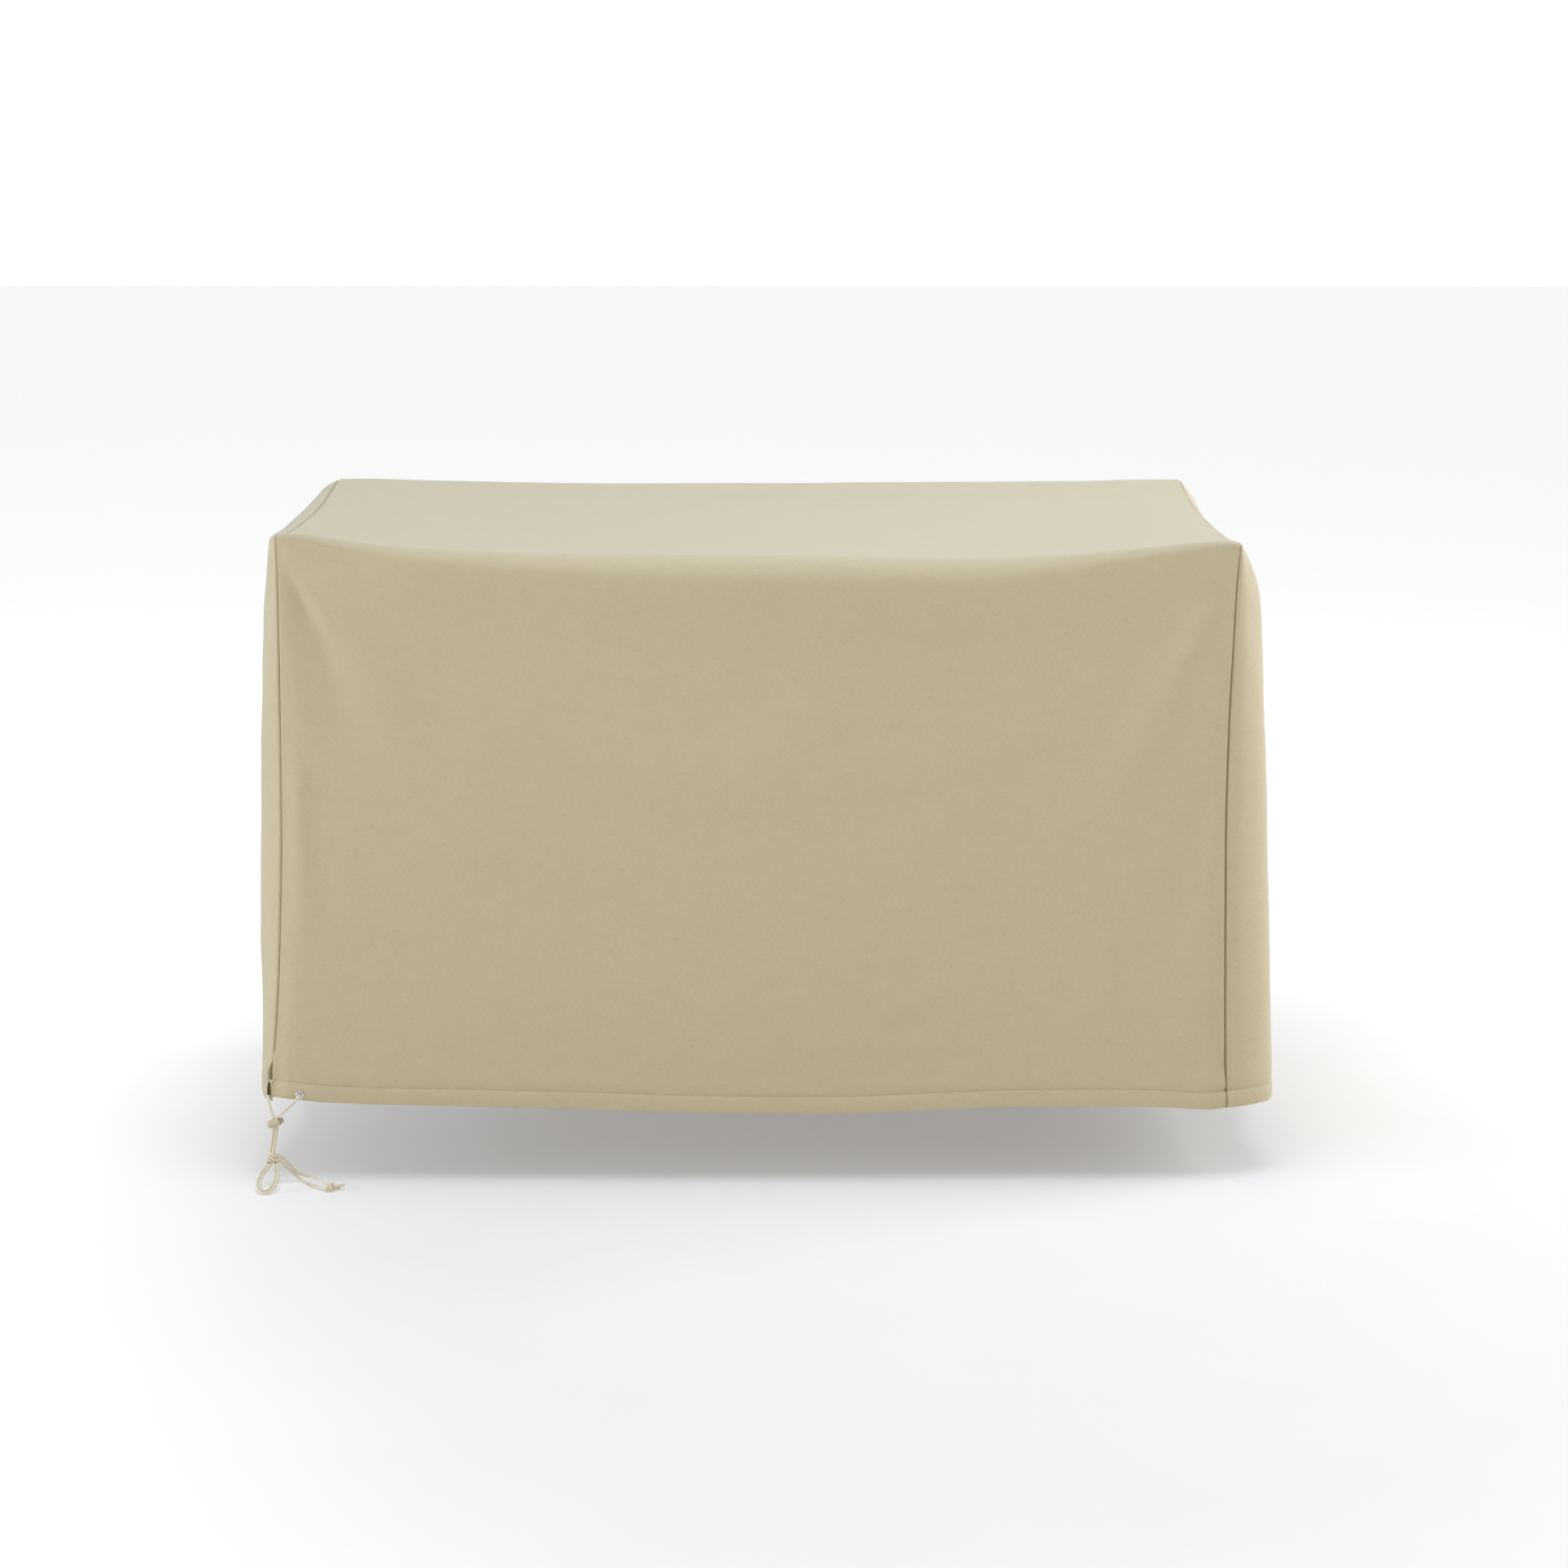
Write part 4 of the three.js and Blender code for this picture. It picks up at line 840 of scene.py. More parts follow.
def end_panel(which, q, t):
    """An end: q runs from its front seam to its back seam, t from its hem to its top seam at 1.5."""
    q, t = np.broadcast_arrays(np.asarray(q, float), np.asarray(t, float))
    a, out = (0.0, -1) if which == "left" else (1.0, 1)
    one = np.ones_like(q)
    front, back, over = long_panel(a * one, t), long_panel(a * one, 5 - t), long_panel(a * one, 1.5 + 2 * q)
    f_top, b_top, f_hem, b_hem = (long_panel(a, v) for v in (1.5, 3.5, 0.0, 5.0))
    deep = (over[..., 1] - f_top[1]) / (b_top[1] - f_top[1])
    high = (front[..., 2] - f_hem[2]) / (f_top[2] - f_hem[2])
    d, h = deep[..., None], high[..., None]
    under = mix(f_hem, b_hem, d)
    under[..., 2] += read(END_HEM, "deep", which, deep)
    p = mix(front, back, d) + mix(under, over, h) - mix(mix(f_hem, b_hem, d), mix(f_top, b_top, d), h)
    from_front, from_back = deep * (b_top[1] - f_top[1]), (1 - deep) * (b_top[1] - f_top[1])
    below = over[..., 2] - p[..., 2]
    p[..., 0] += out * stand_out(which, below, from_front, from_back)
    for i, side_ in enumerate(END_FOLDS["side"]):
        if side_ != which:
            continue
        at = mix(END_FOLDS["bottom"][i], END_FOLDS["top"][i], high)
        p[..., 0] += (out * END_FOLDS["high"][i] * bell((deep - at) / END_FOLDS["wide"][i])
                      * smooth(below / 260) * smooth(from_front / 90) * smooth(from_back / 90))
    if which == "left":
        up = p[..., 2] - f_hem[2]
        opened = smooth((SLIT_HEIGHT - up) / SLIT_OPENS) * (1 - smooth(from_front / 45))
        p[..., 0] -= SLIT_WIDTH * opened
        p[..., 1] += 3 * opened
        p[..., 2] -= SLIT_DROP * opened * (1 - smooth(up / SLIT_HEIGHT))
    return p


# ---------------------------------------------------------------- fine relief
def noise2(u, v, cell, seed):
    """Smooth seeded noise from -1 to 1."""
    lattice = np.random.default_rng(seed).uniform(-1, 1, (128, 128))
    x, y = np.asarray(u, float) / cell + 40.3, np.asarray(v, float) / cell + 51.7
    i, j = np.floor(x).astype(int), np.floor(y).astype(int)
    fx, fy = x - i, y - j
    sx, sy = fx * fx * fx * (fx * (fx * 6 - 15) + 10), fy * fy * fy * (fy * (fy * 6 - 15) + 10)
    g = lambda a, b: lattice[a % 128, b % 128]
    return mix(mix(g(i, j), g(i + 1, j), sx), mix(g(i, j + 1), g(i + 1, j + 1), sx), sy)


# creases and soft ridges: on the front x and z, on the top x and y, on an end y and z
CREASES = table("face u0 v0 u1 v1 bow high wide0 wide1", [
    ("front", -655, 8, -568, -210, -3, -1.7, 5, 12),
    ("front", -652, -66, -628, -262, 0, 1.6, 6, 12),
    ("front", -648, 12, -560, -128, 4, 2.6, 5, 12),
    ("front", 652, 4, 420, -480, 0, -1.8, 8, 30),
    ("front", -610, -776, -390, -778, 0, -2.6, 15, 12),
    ("front", 655, -30, 606, -150, 3, -0.7, 5, 9),
    ("front", -480, -150, 560, -150, 165, 2.6, 30, 34),
    ("front", -560, 4, 560, 4, 16, 7.5, 50, 60),
    ("front", 620, 4, -300, 4, -14, 4.5, 50, 60),
    ("front", 40, -88, 480, -74, 6, 1.6, 20, 22),
    ("front", -520, -180, 520, -200, 200, -0.9, 40, 44),
    ("front", -637, -270, -628, -590, 0, 2.2, 8, 11),
    ("front", -612, -300, -600, -560, 0, -1.2, 9, 12),
    ("front", 490, -520, 480, -665, 0, 1.5, 13, 16),
    ("front", 602, -490, 600, -700, 0, 1.3, 11, 13),
    ("front", 168, -628, 288, -620, 0, 1.0, 9, 11),
    ("front", 343, -320, 130, -440, 8, 1.4, 16, 24),
    ("front", -312, -520, -240, -542, 0, 0.5, 6, 8),
    ("front", 118, -385, 280, -432, 4, 0.5, 7, 9),
    ("front", -60, -368, 20, -376, 0, -0.9, 9, 12),
    ("front", 488, -545, 528, -590, 0, -0.6, 10, 14),
    ("front", 500, -262, 560, -290, 0, 0.5, 10, 14),
    ("front", 196, -604, 222, -642, 0, 0.45, 9, 12),
    ("front", 58, -118, 90, -150, 0, 0.4, 8, 11),
    ("front", -56, -600, -24, -634, 0, 0.4, 8, 10),
    ("front", -151, -478, -154, -592, 2, -0.7, 5, 6),
    ("front", 640, -560, 600, -640, 0, 0.5, 6, 12),
    ("front", 652, -700, 668, -748, -2, -1.3, 4, 6),
    ("front", 640, -715, 655, -760, 0, 1.0, 5, 7),
    ("front", -676, -724, -640, -742, -2, -1.0, 4, 7),
    ("front", -678, -705, -632, -726, -3, 0.9, 4, 8),
    ("front", -560, -640, -500, -690, 4, 0.6, 9, 14),
    ("front", 380, -600, 470, -700, -6, 0.5, 10, 18),
    ("top", -62, -294, 73, -303, 0, -0.55, 5, 6),
    ("top", 73, -303, 464, -335, 3, -0.5, 6, 7),
    ("top", 655, -372, 420, -240, 8, 1.0, 5, 16),
    ("top", 650, -380, 300, -330, 6, 0.8, 5, 12),
    ("top", 630, -384, 480, -362, 2, 0.6, 4, 8),
    ("top", -655, -374, -470, -250, -8, 0.9, 5, 18),
    ("top", -640, -382, -360, -330, -5, 0.6, 5, 12),
    ("top", 650, 370, 440, 230, -6, 0.9, 5, 16),
    ("top", -650, 370, -470, 240, 6, 0.9, 5, 16),
    ("top", -180, -60, 120, 20, 20, 0.7, 26, 30),
    ("top", 180, 120, 420, 60, -12, 0.6, 24, 26),
    ("left", -360, 10, -180, -260, 12, 1.6, 6, 20),
    ("left", -372, -40, -250, -360, 8, -1.2, 6, 18),
    ("left", 360, 10, 200, -280, -12, 1.6, 6, 20),
    ("left", 372, -60, 270, -380, -8, -1.2, 6, 18),
    ("left", 40, -420, -60, -690, 10, 1.0, 16, 24),
    ("left", -300, -520, -250, -700, 6, 0.8, 12, 18),
    ("right", -362, 0, -190, -250, 12, 1.7, 6, 20),
    ("right", -372, -60, -260, -340, 8, -1.2, 6, 18),
    ("right", 362, 5, 190, -260, -12, 1.7, 6, 20),
    ("right", 372, -70, 260, -370, -8, -1.1, 6, 18),
    ("right", 60, -400, 130, -690, -10, 1.0, 16, 24),
    ("right", -210, -480, -170, -700, 6, -0.8, 12, 20),
    ("back", -655, 10, -500, -270, 6, 1.8, 6, 22),
    ("back", 655, 10, 520, -300, -6, 1.8, 6, 22),
    ("back", -630, -20, -470, -190, 6, -1.1, 8, 20),
    ("back", 632, -16, 480, -200, -6, -1.2, 8, 20),
    ("back", -200, -260, 120, -420, 30, 1.0, 24, 32),
    ("back", 260, -380, 420, -600, -20, -0.9, 22, 30),
])


def creases(face, u, v):
    out = np.zeros(np.broadcast(u, v).shape)
    c = CREASES
    for i in range(len(c["u0"])):
        if c["face"][i] != face:
            continue
        du, dv = c["u1"][i] - c["u0"][i], c["v1"][i] - c["v0"][i]
        run = du * du + dv * dv
        s = ((u - c["u0"][i]) * du + (v - c["v0"][i]) * dv) / run
        k = np.clip(s, 0, 1)
        off = ((u - c["u0"][i]) * dv - (v - c["v0"][i]) * du) / math.sqrt(run) - c["bow"][i] * 4 * k * (1 - k)
        off = off + 1.2 * noise2(u, v, 34.0, 71 + i)
        out += c["high"][i] * bell(off / mix(c["wide0"][i], c["wide1"][i], k)) * smooth(s / 0.12 + 0.25) * smooth((1.02 - s) / 0.4)
    return out


def relief(face, u, v):
    """Everything that a flat cloth hung in the open keeps from its folding and sewing."""
    seed = {"front": 1, "top": 2, "back": 3, "left": 4, "right": 5}[face]
    base = 0.32 * noise2(u, v, 95.0, 10 + seed) + 0.12 * noise2(u, v, 38.0, 20 + seed)
    base = base + 0.05 * noise2(u + 0.5 * v, v - 0.3 * u, 15.0, 30 + seed)
    return base + creases(face, u, v)


def seam_puckers(along, e, seed, high=0.75):
    """Short gathers across a seam, uneven along it."""
    strength = 0.35 + 0.65 * smooth(0.5 + 0.9 * noise2(along, 0 * along, 120.0, 40 + seed))
    wave = noise2(along + 0.35 * e, 0 * along, 13.0, 50 + seed) + 0.5 * noise2(along - 0.2 * e, 0 * along, 29.0, 60 + seed)
    return high * strength * wave * (e / (e + 2.5)) * np.exp(-((e / 17.0) ** 1.3))


def hem_puckers(along, rise, seed, strength):
    """Slanting gathers in the channel, and the dimples that its stitching pulls above it."""
    in_channel = np.clip(np.sin(math.pi * np.clip(rise, 0, 25) / 25), 0, 1) ** 0.8
    slant = noise2(along + 0.75 * rise, 0.25 * rise, 11.0, 70 + seed) + 0.6 * noise2(along + 0.5 * rise, 0 * along, 24.0, 80 + seed)
    above = np.exp(-(((rise - 26) / 13.0) ** 2)) * (rise > 24.9)
    dimples = noise2(along - 0.2 * rise, 0 * along, 14.0, 90 + seed)
    return strength * (0.95 * slant * in_channel + 0.50 * dimples * above)


# ---------------------------------------------------------------- cloth sheets
THICK = 1.0
ALLOW = np.array([8.0, 6.75, 5.5, 4.25, 3.0, 2.2, 1.4, 0.7])      # seam allowance columns
HEM_IN = [(27.5, -1.30), (25.0, -1.66), (22.5, -1.55), (19.0, -1.6), (15.0, -1.85), (11.4, -1.95), (8.2, -1.95), (5.0, -1.75), (3.0, -1.35)]
HEM_ARC = [(1.5 - math.sin(a), -math.cos(a)) for a in np.radians([0, 35, 65, 90, 115, 145, 180])]
HEM_OUT = [(3.0, 1.35), (5.0, 1.62), (8.2, 1.82), (11.4, 1.88), (15.0, 1.75), (19.0, 1.46), (22.5, 0.85), (25.0, -0.60),
           (27.0, 0.05), (29.5, 0.55), (33.0, 0.90), (38.0, 0.95), (45.0, 0.65), (52.0, 0.35)]
EYELET_AT = (-643.4, -753.4)
eyelet_across = (EYELET_AT[0] - float(read(UPRIGHT, "z", "leftFront", EYELET_AT[1]))) / float(
    read(UPRIGHT, "z", "rightFront", EYELET_AT[1]) - read(UPRIGHT, "z", "leftFront", EYELET_AT[1]))
eyelet_rise = EYELET_AT[1] - float(read(FRONT, "across", "hem", eyelet_across))


def hem_rows(rows):
    """The eyelet's own height takes the place of the row at 8.2."""
    out = []
    for rise, off in rows:
        if abs(rise - 8.2) < 0.01:
            rise = eyelet_rise
        elif abs(rise - 5.0) < 0.01:
            rise = eyelet_rise - 3.2
        elif abs(rise - 11.4) < 0.01:
            rise = eyelet_rise + 3.2
        out.append((rise, off))
    return out


def unit(v):
    return v / np.maximum(np.linalg.norm(v, axis=-1, keepdims=True), 1e-9)


def surface_normals(fn, a, t, a_top, t_top, ea, et, sign):
    a0, a1 = np.clip(a - ea, 0, a_top), np.clip(a + ea, 0, a_top)
    t0, t1 = np.clip(t - et, 0, t_top), np.clip(t + et, 0, t_top)
    return unit(np.cross(fn(a1, t) - fn(a0, t), fn(a, t1) - fn(a, t0))) * sign


def gaps(points, axis):
    d = np.linalg.norm(np.diff(points, axis=axis), axis=-1)
    zero = np.zeros_like(np.take(d, [0], axis=axis))
    return np.cumsum(np.concatenate([zero, d], axis=axis), axis=axis)


def sheet_faces(rows, cols, fine_rows, skip=None, notch=None):
    """Faces of a grid. Rows not marked fine use every second column, and a row
    between the two kinds is joined by triangles."""
    out = []
    at = lambda r, c: r * cols + c
    for r in range(rows - 1):
        low, high = fine_rows[r], fine_rows[r + 1]
        for c in range(0, cols - 1, 1 if (low and high) else 2):
            if skip is not None and skip(r, c):
                continue
            if low and high:
                out.append((at(r, c), at(r, c + 1), at(r + 1, c + 1), at(r + 1, c)))
            elif not low and not high:
                out.append((at(r, c), at(r, c + 2), at(r + 1, c + 2), at(r + 1, c)))
            elif low:
                out += [(at(r, c), at(r, c + 1), at(r + 1, c)), (at(r, c + 1), at(r + 1, c + 2), at(r + 1, c)),
                        (at(r, c + 1), at(r, c + 2), at(r + 1, c + 2))]
            else:
                out += [(at(r, c), at(r + 1, c + 1), at(r + 1, c)), (at(r, c), at(r, c + 2), at(r + 1, c + 1)),
                        (at(r, c + 2), at(r + 1, c + 2), at(r + 1, c + 1))]
    return out


def sheet_object(name, points, normals, faces, uv, seam_painted_shade, thick=THICK):
    """A closed thin sheet: both faces of a grid and a rim along every open edge."""
    flat, nrm = points.reshape(-1, 3), normals.reshape(-1, 3)
    n = len(flat)
    edges = {}
    for f in faces:
        for i in range(len(f)):
            a, b = f[i], f[(i + 1) % len(f)]
            if (b, a) in edges:
                del edges[(b, a)]
            else:
                edges[(a, b)] = True
    every = list(faces) + [tuple(i + n for i in f[::-1]) for f in faces]
    every += [(b, a, a + n, b + n) for a, b in edges]
    verts = np.vstack([flat + nrm * thick / 2, flat - nrm * thick / 2])
    coords = uv.reshape(-1, 2)
    # both faces carry the painted seam shade weight
    return mesh_object(name, verts, every, CLOTH_MAT, np.vstack([coords, coords]), seam_painted_shade=np.tile(seam_painted_shade.ravel(), 2))


def grid_normals(points):
    along, up = np.gradient(points, axis=1), np.gradient(points, axis=0)
    return unit(np.cross(unit(along), unit(up)))


def seam_painted_shade_weight(e):
    """How much painted seam shade a point gets, by its distance from the stitching."""
    return np.exp(-((e / 0.8) ** 2))


def seam_in(points, own, partner, e, held, off, pull):
    """Draws a panel's edge into its seam, half its own side of the stitching."""
    inward = -unit(own + partner)
    aside = unit(own - partner)
    held3, off3, pull3 = held[..., None], off[..., None], pull[..., None]
    near = lambda w: np.exp(-((e / w) ** 2))[..., None]
    moved = (points + partner * off3 * near(6.0) * held3 + inward * 3.9 * near(1.7) * held3 * pull3
             + aside * 0.56 * near(2.2) * held3)
    return moved, inward


def allowance(points, inward, sheet_side, edge_first, held, scale, turn, spring=None):
    """Columns past a seam: the cloth's allowance lies against its neighbour's, or
    is turned back and hemmed where the edge is free (held 0)."""
    cols = points.shape[1]
    line = points if edge_first else points[:, ::-1]
    side = sheet_side if edge_first else sheet_side[:, ::-1]
    far = gaps(line, 1)
    out = []
    for k in ALLOW:
        sewn = line[:, 0] + (inward * (k * scale)[..., None])
        back = np.clip(k - 0.9, -0.45, None) * turn / 8.0 + np.where(k < 1.0, -0.25, 0)
        free = np.zeros_like(sewn)
        for r in range(len(line)):
            if held[r] > 0.999:
                continue
            for j in range(3):
                free[r, j] = np.interp(back[r], far[r, :24], line[r, :24, j])
            if back[r] < 0:
                free[r] += unit(line[r, 0] - line[r, 1]) * -back[r]
            free[r] -= side[r, 2] * min(k / 1.4, 1.0) * 1.12 * (0.55 if turn[r] < 5 else 1.0)
            if spring is not None:
                reach = spring[0][r] - line[r, 0]
                out_ = line[r, 0] + reach * (k / 8.0) + np.array([0.6, -0.4, 0]) * 1.4 * math.sin(math.pi * k / 8.0)
                free[r] = mix(free[r], out_, spring[1][r])
        out.append(mix(free, sewn, held[:, None]))
    strip = np.stack(out, 1)
    return strip if edge_first else strip[:, ::-1]


# rows of the long panel: (t, offset, layer)   layer: -1 inner hem, 0 arc, 1 outside
def panel_rows(upper):
    rows = [(r / 600.0, o, -1, r) for r, o in hem_rows(HEM_IN)]
    rows += [(max(r, 0.0) / 600.0, o, 0, r) for r, o in HEM_ARC]
    rows += [(r / 600.0, o, 1, r) for r, o in hem_rows(HEM_OUT)]
    return rows + upper


front_side = panel_rows([(t, 0.2, 1, 99.0) for t in np.linspace(0.1, 1.0, 90)])
back_side = [(5 - t, o, layer, r) for t, o, layer, r in panel_rows([(t, 0.2, 1, 99.0) for t in np.linspace(0.1, 1.0, 40)])][::-1]
over_side = ([(t, 0.2, 1, 99.0) for t in 1 + np.linspace(0, 1, 11)[1:]]
             + [(t, 0.2, 1, 99.0) for t in 2 + (np.linspace(0, 1, 66)[1:]) ** 1.12]
             + [(t, 0.2, 1, 99.0) for t in 3 + np.linspace(0, 1, 8)[1:-1]])
long_rows = front_side + over_side + back_side
t_rows = np.array([r[0] for r in long_rows])
o_rows = np.array([r[1] for r in long_rows])
layer_rows = np.array([r[2] for r in long_rows])
rise_rows = np.array([r[3] for r in long_rows])
is_front = t_rows < 1.0001
is_back = t_rows > 3.9999

width_mm = 1333.0
near_edge = np.array([0, 1.0, 2.0, 3.2, 5.0, 7.5, 11.0, 16.0, 23.0, 30.0])
eyelet_x = eyelet_across * 1336.0
left_part = np.concatenate([near_edge, [eyelet_x - 3.2, eyelet_x, eyelet_x + 3.2]])
middle = np.linspace(eyelet_x + 12.5, width_mm - 30.0, 121)
coarse = np.concatenate([left_part, middle, width_mm - near_edge[:-1][::-1]]) / width_mm
across = np.zeros(2 * len(coarse) - 1)
across[::2] = coarse
across[1::2] = (coarse[1:] + coarse[:-1]) / 2
A_, T_ = np.meshgrid(across, t_rows)
base = long_panel(A_, T_)
normal = surface_normals(long_panel, A_, T_, 1.0, 5.0, 0.0018, 0.008, 1.0)
e_left, total = gaps(base, 1), None
e_right = e_left[:, -1:] - e_left
x_, y_, z_ = base[..., 0], base[..., 1], base[..., 2]
height = np.zeros(x_.shape)
fr, tp, bk = T_ < 1.5, (T_ >= 1.5) & (T_ <= 3.5), T_ > 3.5
rel_front, rel_top, rel_back = relief("front", x_, z_), relief("top", x_, y_), relief("back", x_, z_)
w_front, w_back = 1 - smooth(T_ - 1.0), smooth(T_ - 3.0)
w_top = 1 - w_front - w_back
height = rel_front * w_front + rel_top * w_top + rel_back * w_back
run_t = np.interp(t_rows, [0, 1, 2, 3, 4, 5], [0, 780, 805, 1560, 1580, 2370])[:, None] * np.ones_like(x_)
height += seam_puckers(run_t, e_left, 1) + seam_puckers(run_t, e_right, 2)
extra = np.exp(-((e_right / 26.0) ** 1.4)) * smooth((-z_ - 300) / 60) * smooth((z_ + 640) / 60) * w_front
height += 0.75 * noise2(z_ + 0.6 * e_right, 0 * z_, 17.0, 95) * extra * (e_right / (e_right + 4))
rise_field = rise_rows[:, None] * np.ones_like(x_)
strong = 0.62 + 0.5 * bell((x_ + 350) / 110) + 0.55 * bell((x_ - 470) / 120) + 0.25 * bell((x_ + 560) / 60)
in_hem = (rise_field < 98).astype(float)
height += hem_puckers(x_, rise_field, 1, strong) * in_hem * w_front * (layer_rows != -1)[:, None]
height += hem_puckers(x_, rise_field, 2, 0.8) * in_hem * w_back * (layer_rows != -1)[:, None]
calm = 1 - np.exp(-(((x_ - EYELET_AT[0]) / 9.0) ** 2 + ((z_ - EYELET_AT[1]) / 9.0) ** 2)) * fr
off = o_rows[:, None] * np.ones_like(x_)
off = np.where((rise_field < 24) & fr & (calm < 0.999), off * (0.47 + 0.53 * calm), off)
height *= calm
# the open corner: the channel's mouth gapes a little where the cord comes out
held = np.ones(x_.shape)
slit = is_front[:, None] & (A_ < 0.5)
rise_true = np.where(rise_field < 98, rise_field, z_ - read(FRONT, "across", "hem", A_))
held = np.where(slit, smooth((rise_true - SLIT_HEIGHT - 1) / 6), 1.0)
mouth = np.exp(-((e_left / 12.0) ** 2)) * slit * (rise_true < 24)
off = off * (1 + 0.25 * mouth)
points = base + normal * (off + height * np.where(layer_rows == -1, 0.3, 1.0)[:, None])[..., None]
angle = np.interp(t_rows, [0, 1, 2, 3, 4, 5], [0, 0, math.pi / 2, math.pi / 2, math.pi, math.pi])[:, None] * np.ones_like(x_)
own = np.stack([0 * angle, -np.cos(angle), np.sin(angle)], -1)
partner = np.where((A_ < 0.5)[..., None], np.array([-1.0, 0, 0]), np.array([1.0, 0, 0]))
pull_rows = np.where(layer_rows == 1, np.where(rise_rows < 24, 0.5, 1.0), np.where(layer_rows == 0, 0.25, 0.0))
points, inward = seam_in(points, own, partner, np.minimum(e_left, e_right), held, off, pull_rows[:, None] * np.ones_like(x_))
scale_rows = np.where(layer_rows == 1, mix(0.12, 1.0, smooth((rise_rows - 24) / 6)), 0.06)
turn_rows = np.where(layer_rows == 1, mix(2.4, 7.5, smooth((rise_rows - 24) / 6)), 2.4)
sheet_side = grid_normals(points)
left_strip = allowance(points, inward[:, 0], sheet_side, True, held[:, 0], scale_rows, turn_rows)
right_strip = allowance(points, inward[:, -1], sheet_side, False, held[:, -1], scale_rows, turn_rows)
core_cols = points.shape[1]
points = np.concatenate([left_strip, points, right_strip], 1)
normals = grid_normals(points)
along_u = across * 1.320
u = np.concatenate([-ALLOW * MM, along_u, along_u[-1] + ALLOW[::-1] * MM])
v = gaps(points[:, points.shape[1] // 2], 0) * MM
long_uv = np.stack(np.meshgrid(u, v), -1)
start = len(ALLOW)
fine = [bool(is_front[i] and rise_rows[i] < 98) for i in range(len(long_rows))]

# the hole for the eyelet, through both layers of the hem
eye_col = start + int(np.argmin(abs(across - eyelet_across)))
eye_rows = [i for i in range(len(long_rows)) if is_front[i] and abs(rise_rows[i] - eyelet_rise) < 0.01]
eye_centre = long_panel(eyelet_across, eyelet_rise / 600.0)
eye_normal = surface_normals(long_panel, np.array([eyelet_across]), np.array([eyelet_rise / 600.0]), 1.0, 5.0, 0.0018, 0.008, 1.0)[0]
eye_side = unit(np.cross(np.array([0, 0, 1.0]), eye_normal))
eye_up = np.cross(eye_normal, eye_side)
for r in eye_rows:
    ring = [(r - 1, c) for c in range(eye_col - 2, eye_col + 3)] + [(r + 1, c) for c in range(eye_col - 2, eye_col + 3)] + [(r, eye_col - 2), (r, eye_col + 2)]
    for rr, cc in ring:
        d = points[rr, cc] - eye_centre
        a, b, h = d.dot(eye_side), d.dot(eye_up), d.dot(eye_normal)
        k = 3.9 / math.hypot(a, b)
        points[rr, cc] = eye_centre + eye_side * a * k + eye_up * b * k + eye_normal * h


def at_eyelet(r, c):
    return any(row - 1 <= r < row + 1 for row in eye_rows) and eye_col - 2 <= c < eye_col + 2


faces = sheet_faces(points.shape[0], points.shape[1], fine, skip=at_eyelet)
# painted shade: weight of the darkening painted along the long panel's seams
seam_painted_shade = seam_painted_shade_weight(np.minimum(e_left, e_right)) * held
seam_painted_shade = np.pad(seam_painted_shade, ((0, 0), (start, start)), mode="edge")
wrap_cloth = sheet_object("wrap_cloth", points, normals, faces, long_uv, seam_painted_shade)
add_piece(wrap_cloth, "cloth", "wrap")
LONG = dict(points=points + normals * THICK / 2, inner=points - normals * THICK / 2, normals=normals,
            start=start, across=across, rise=rise_rows, layer=layer_rows, t=t_rows, front=is_front, back=is_back)


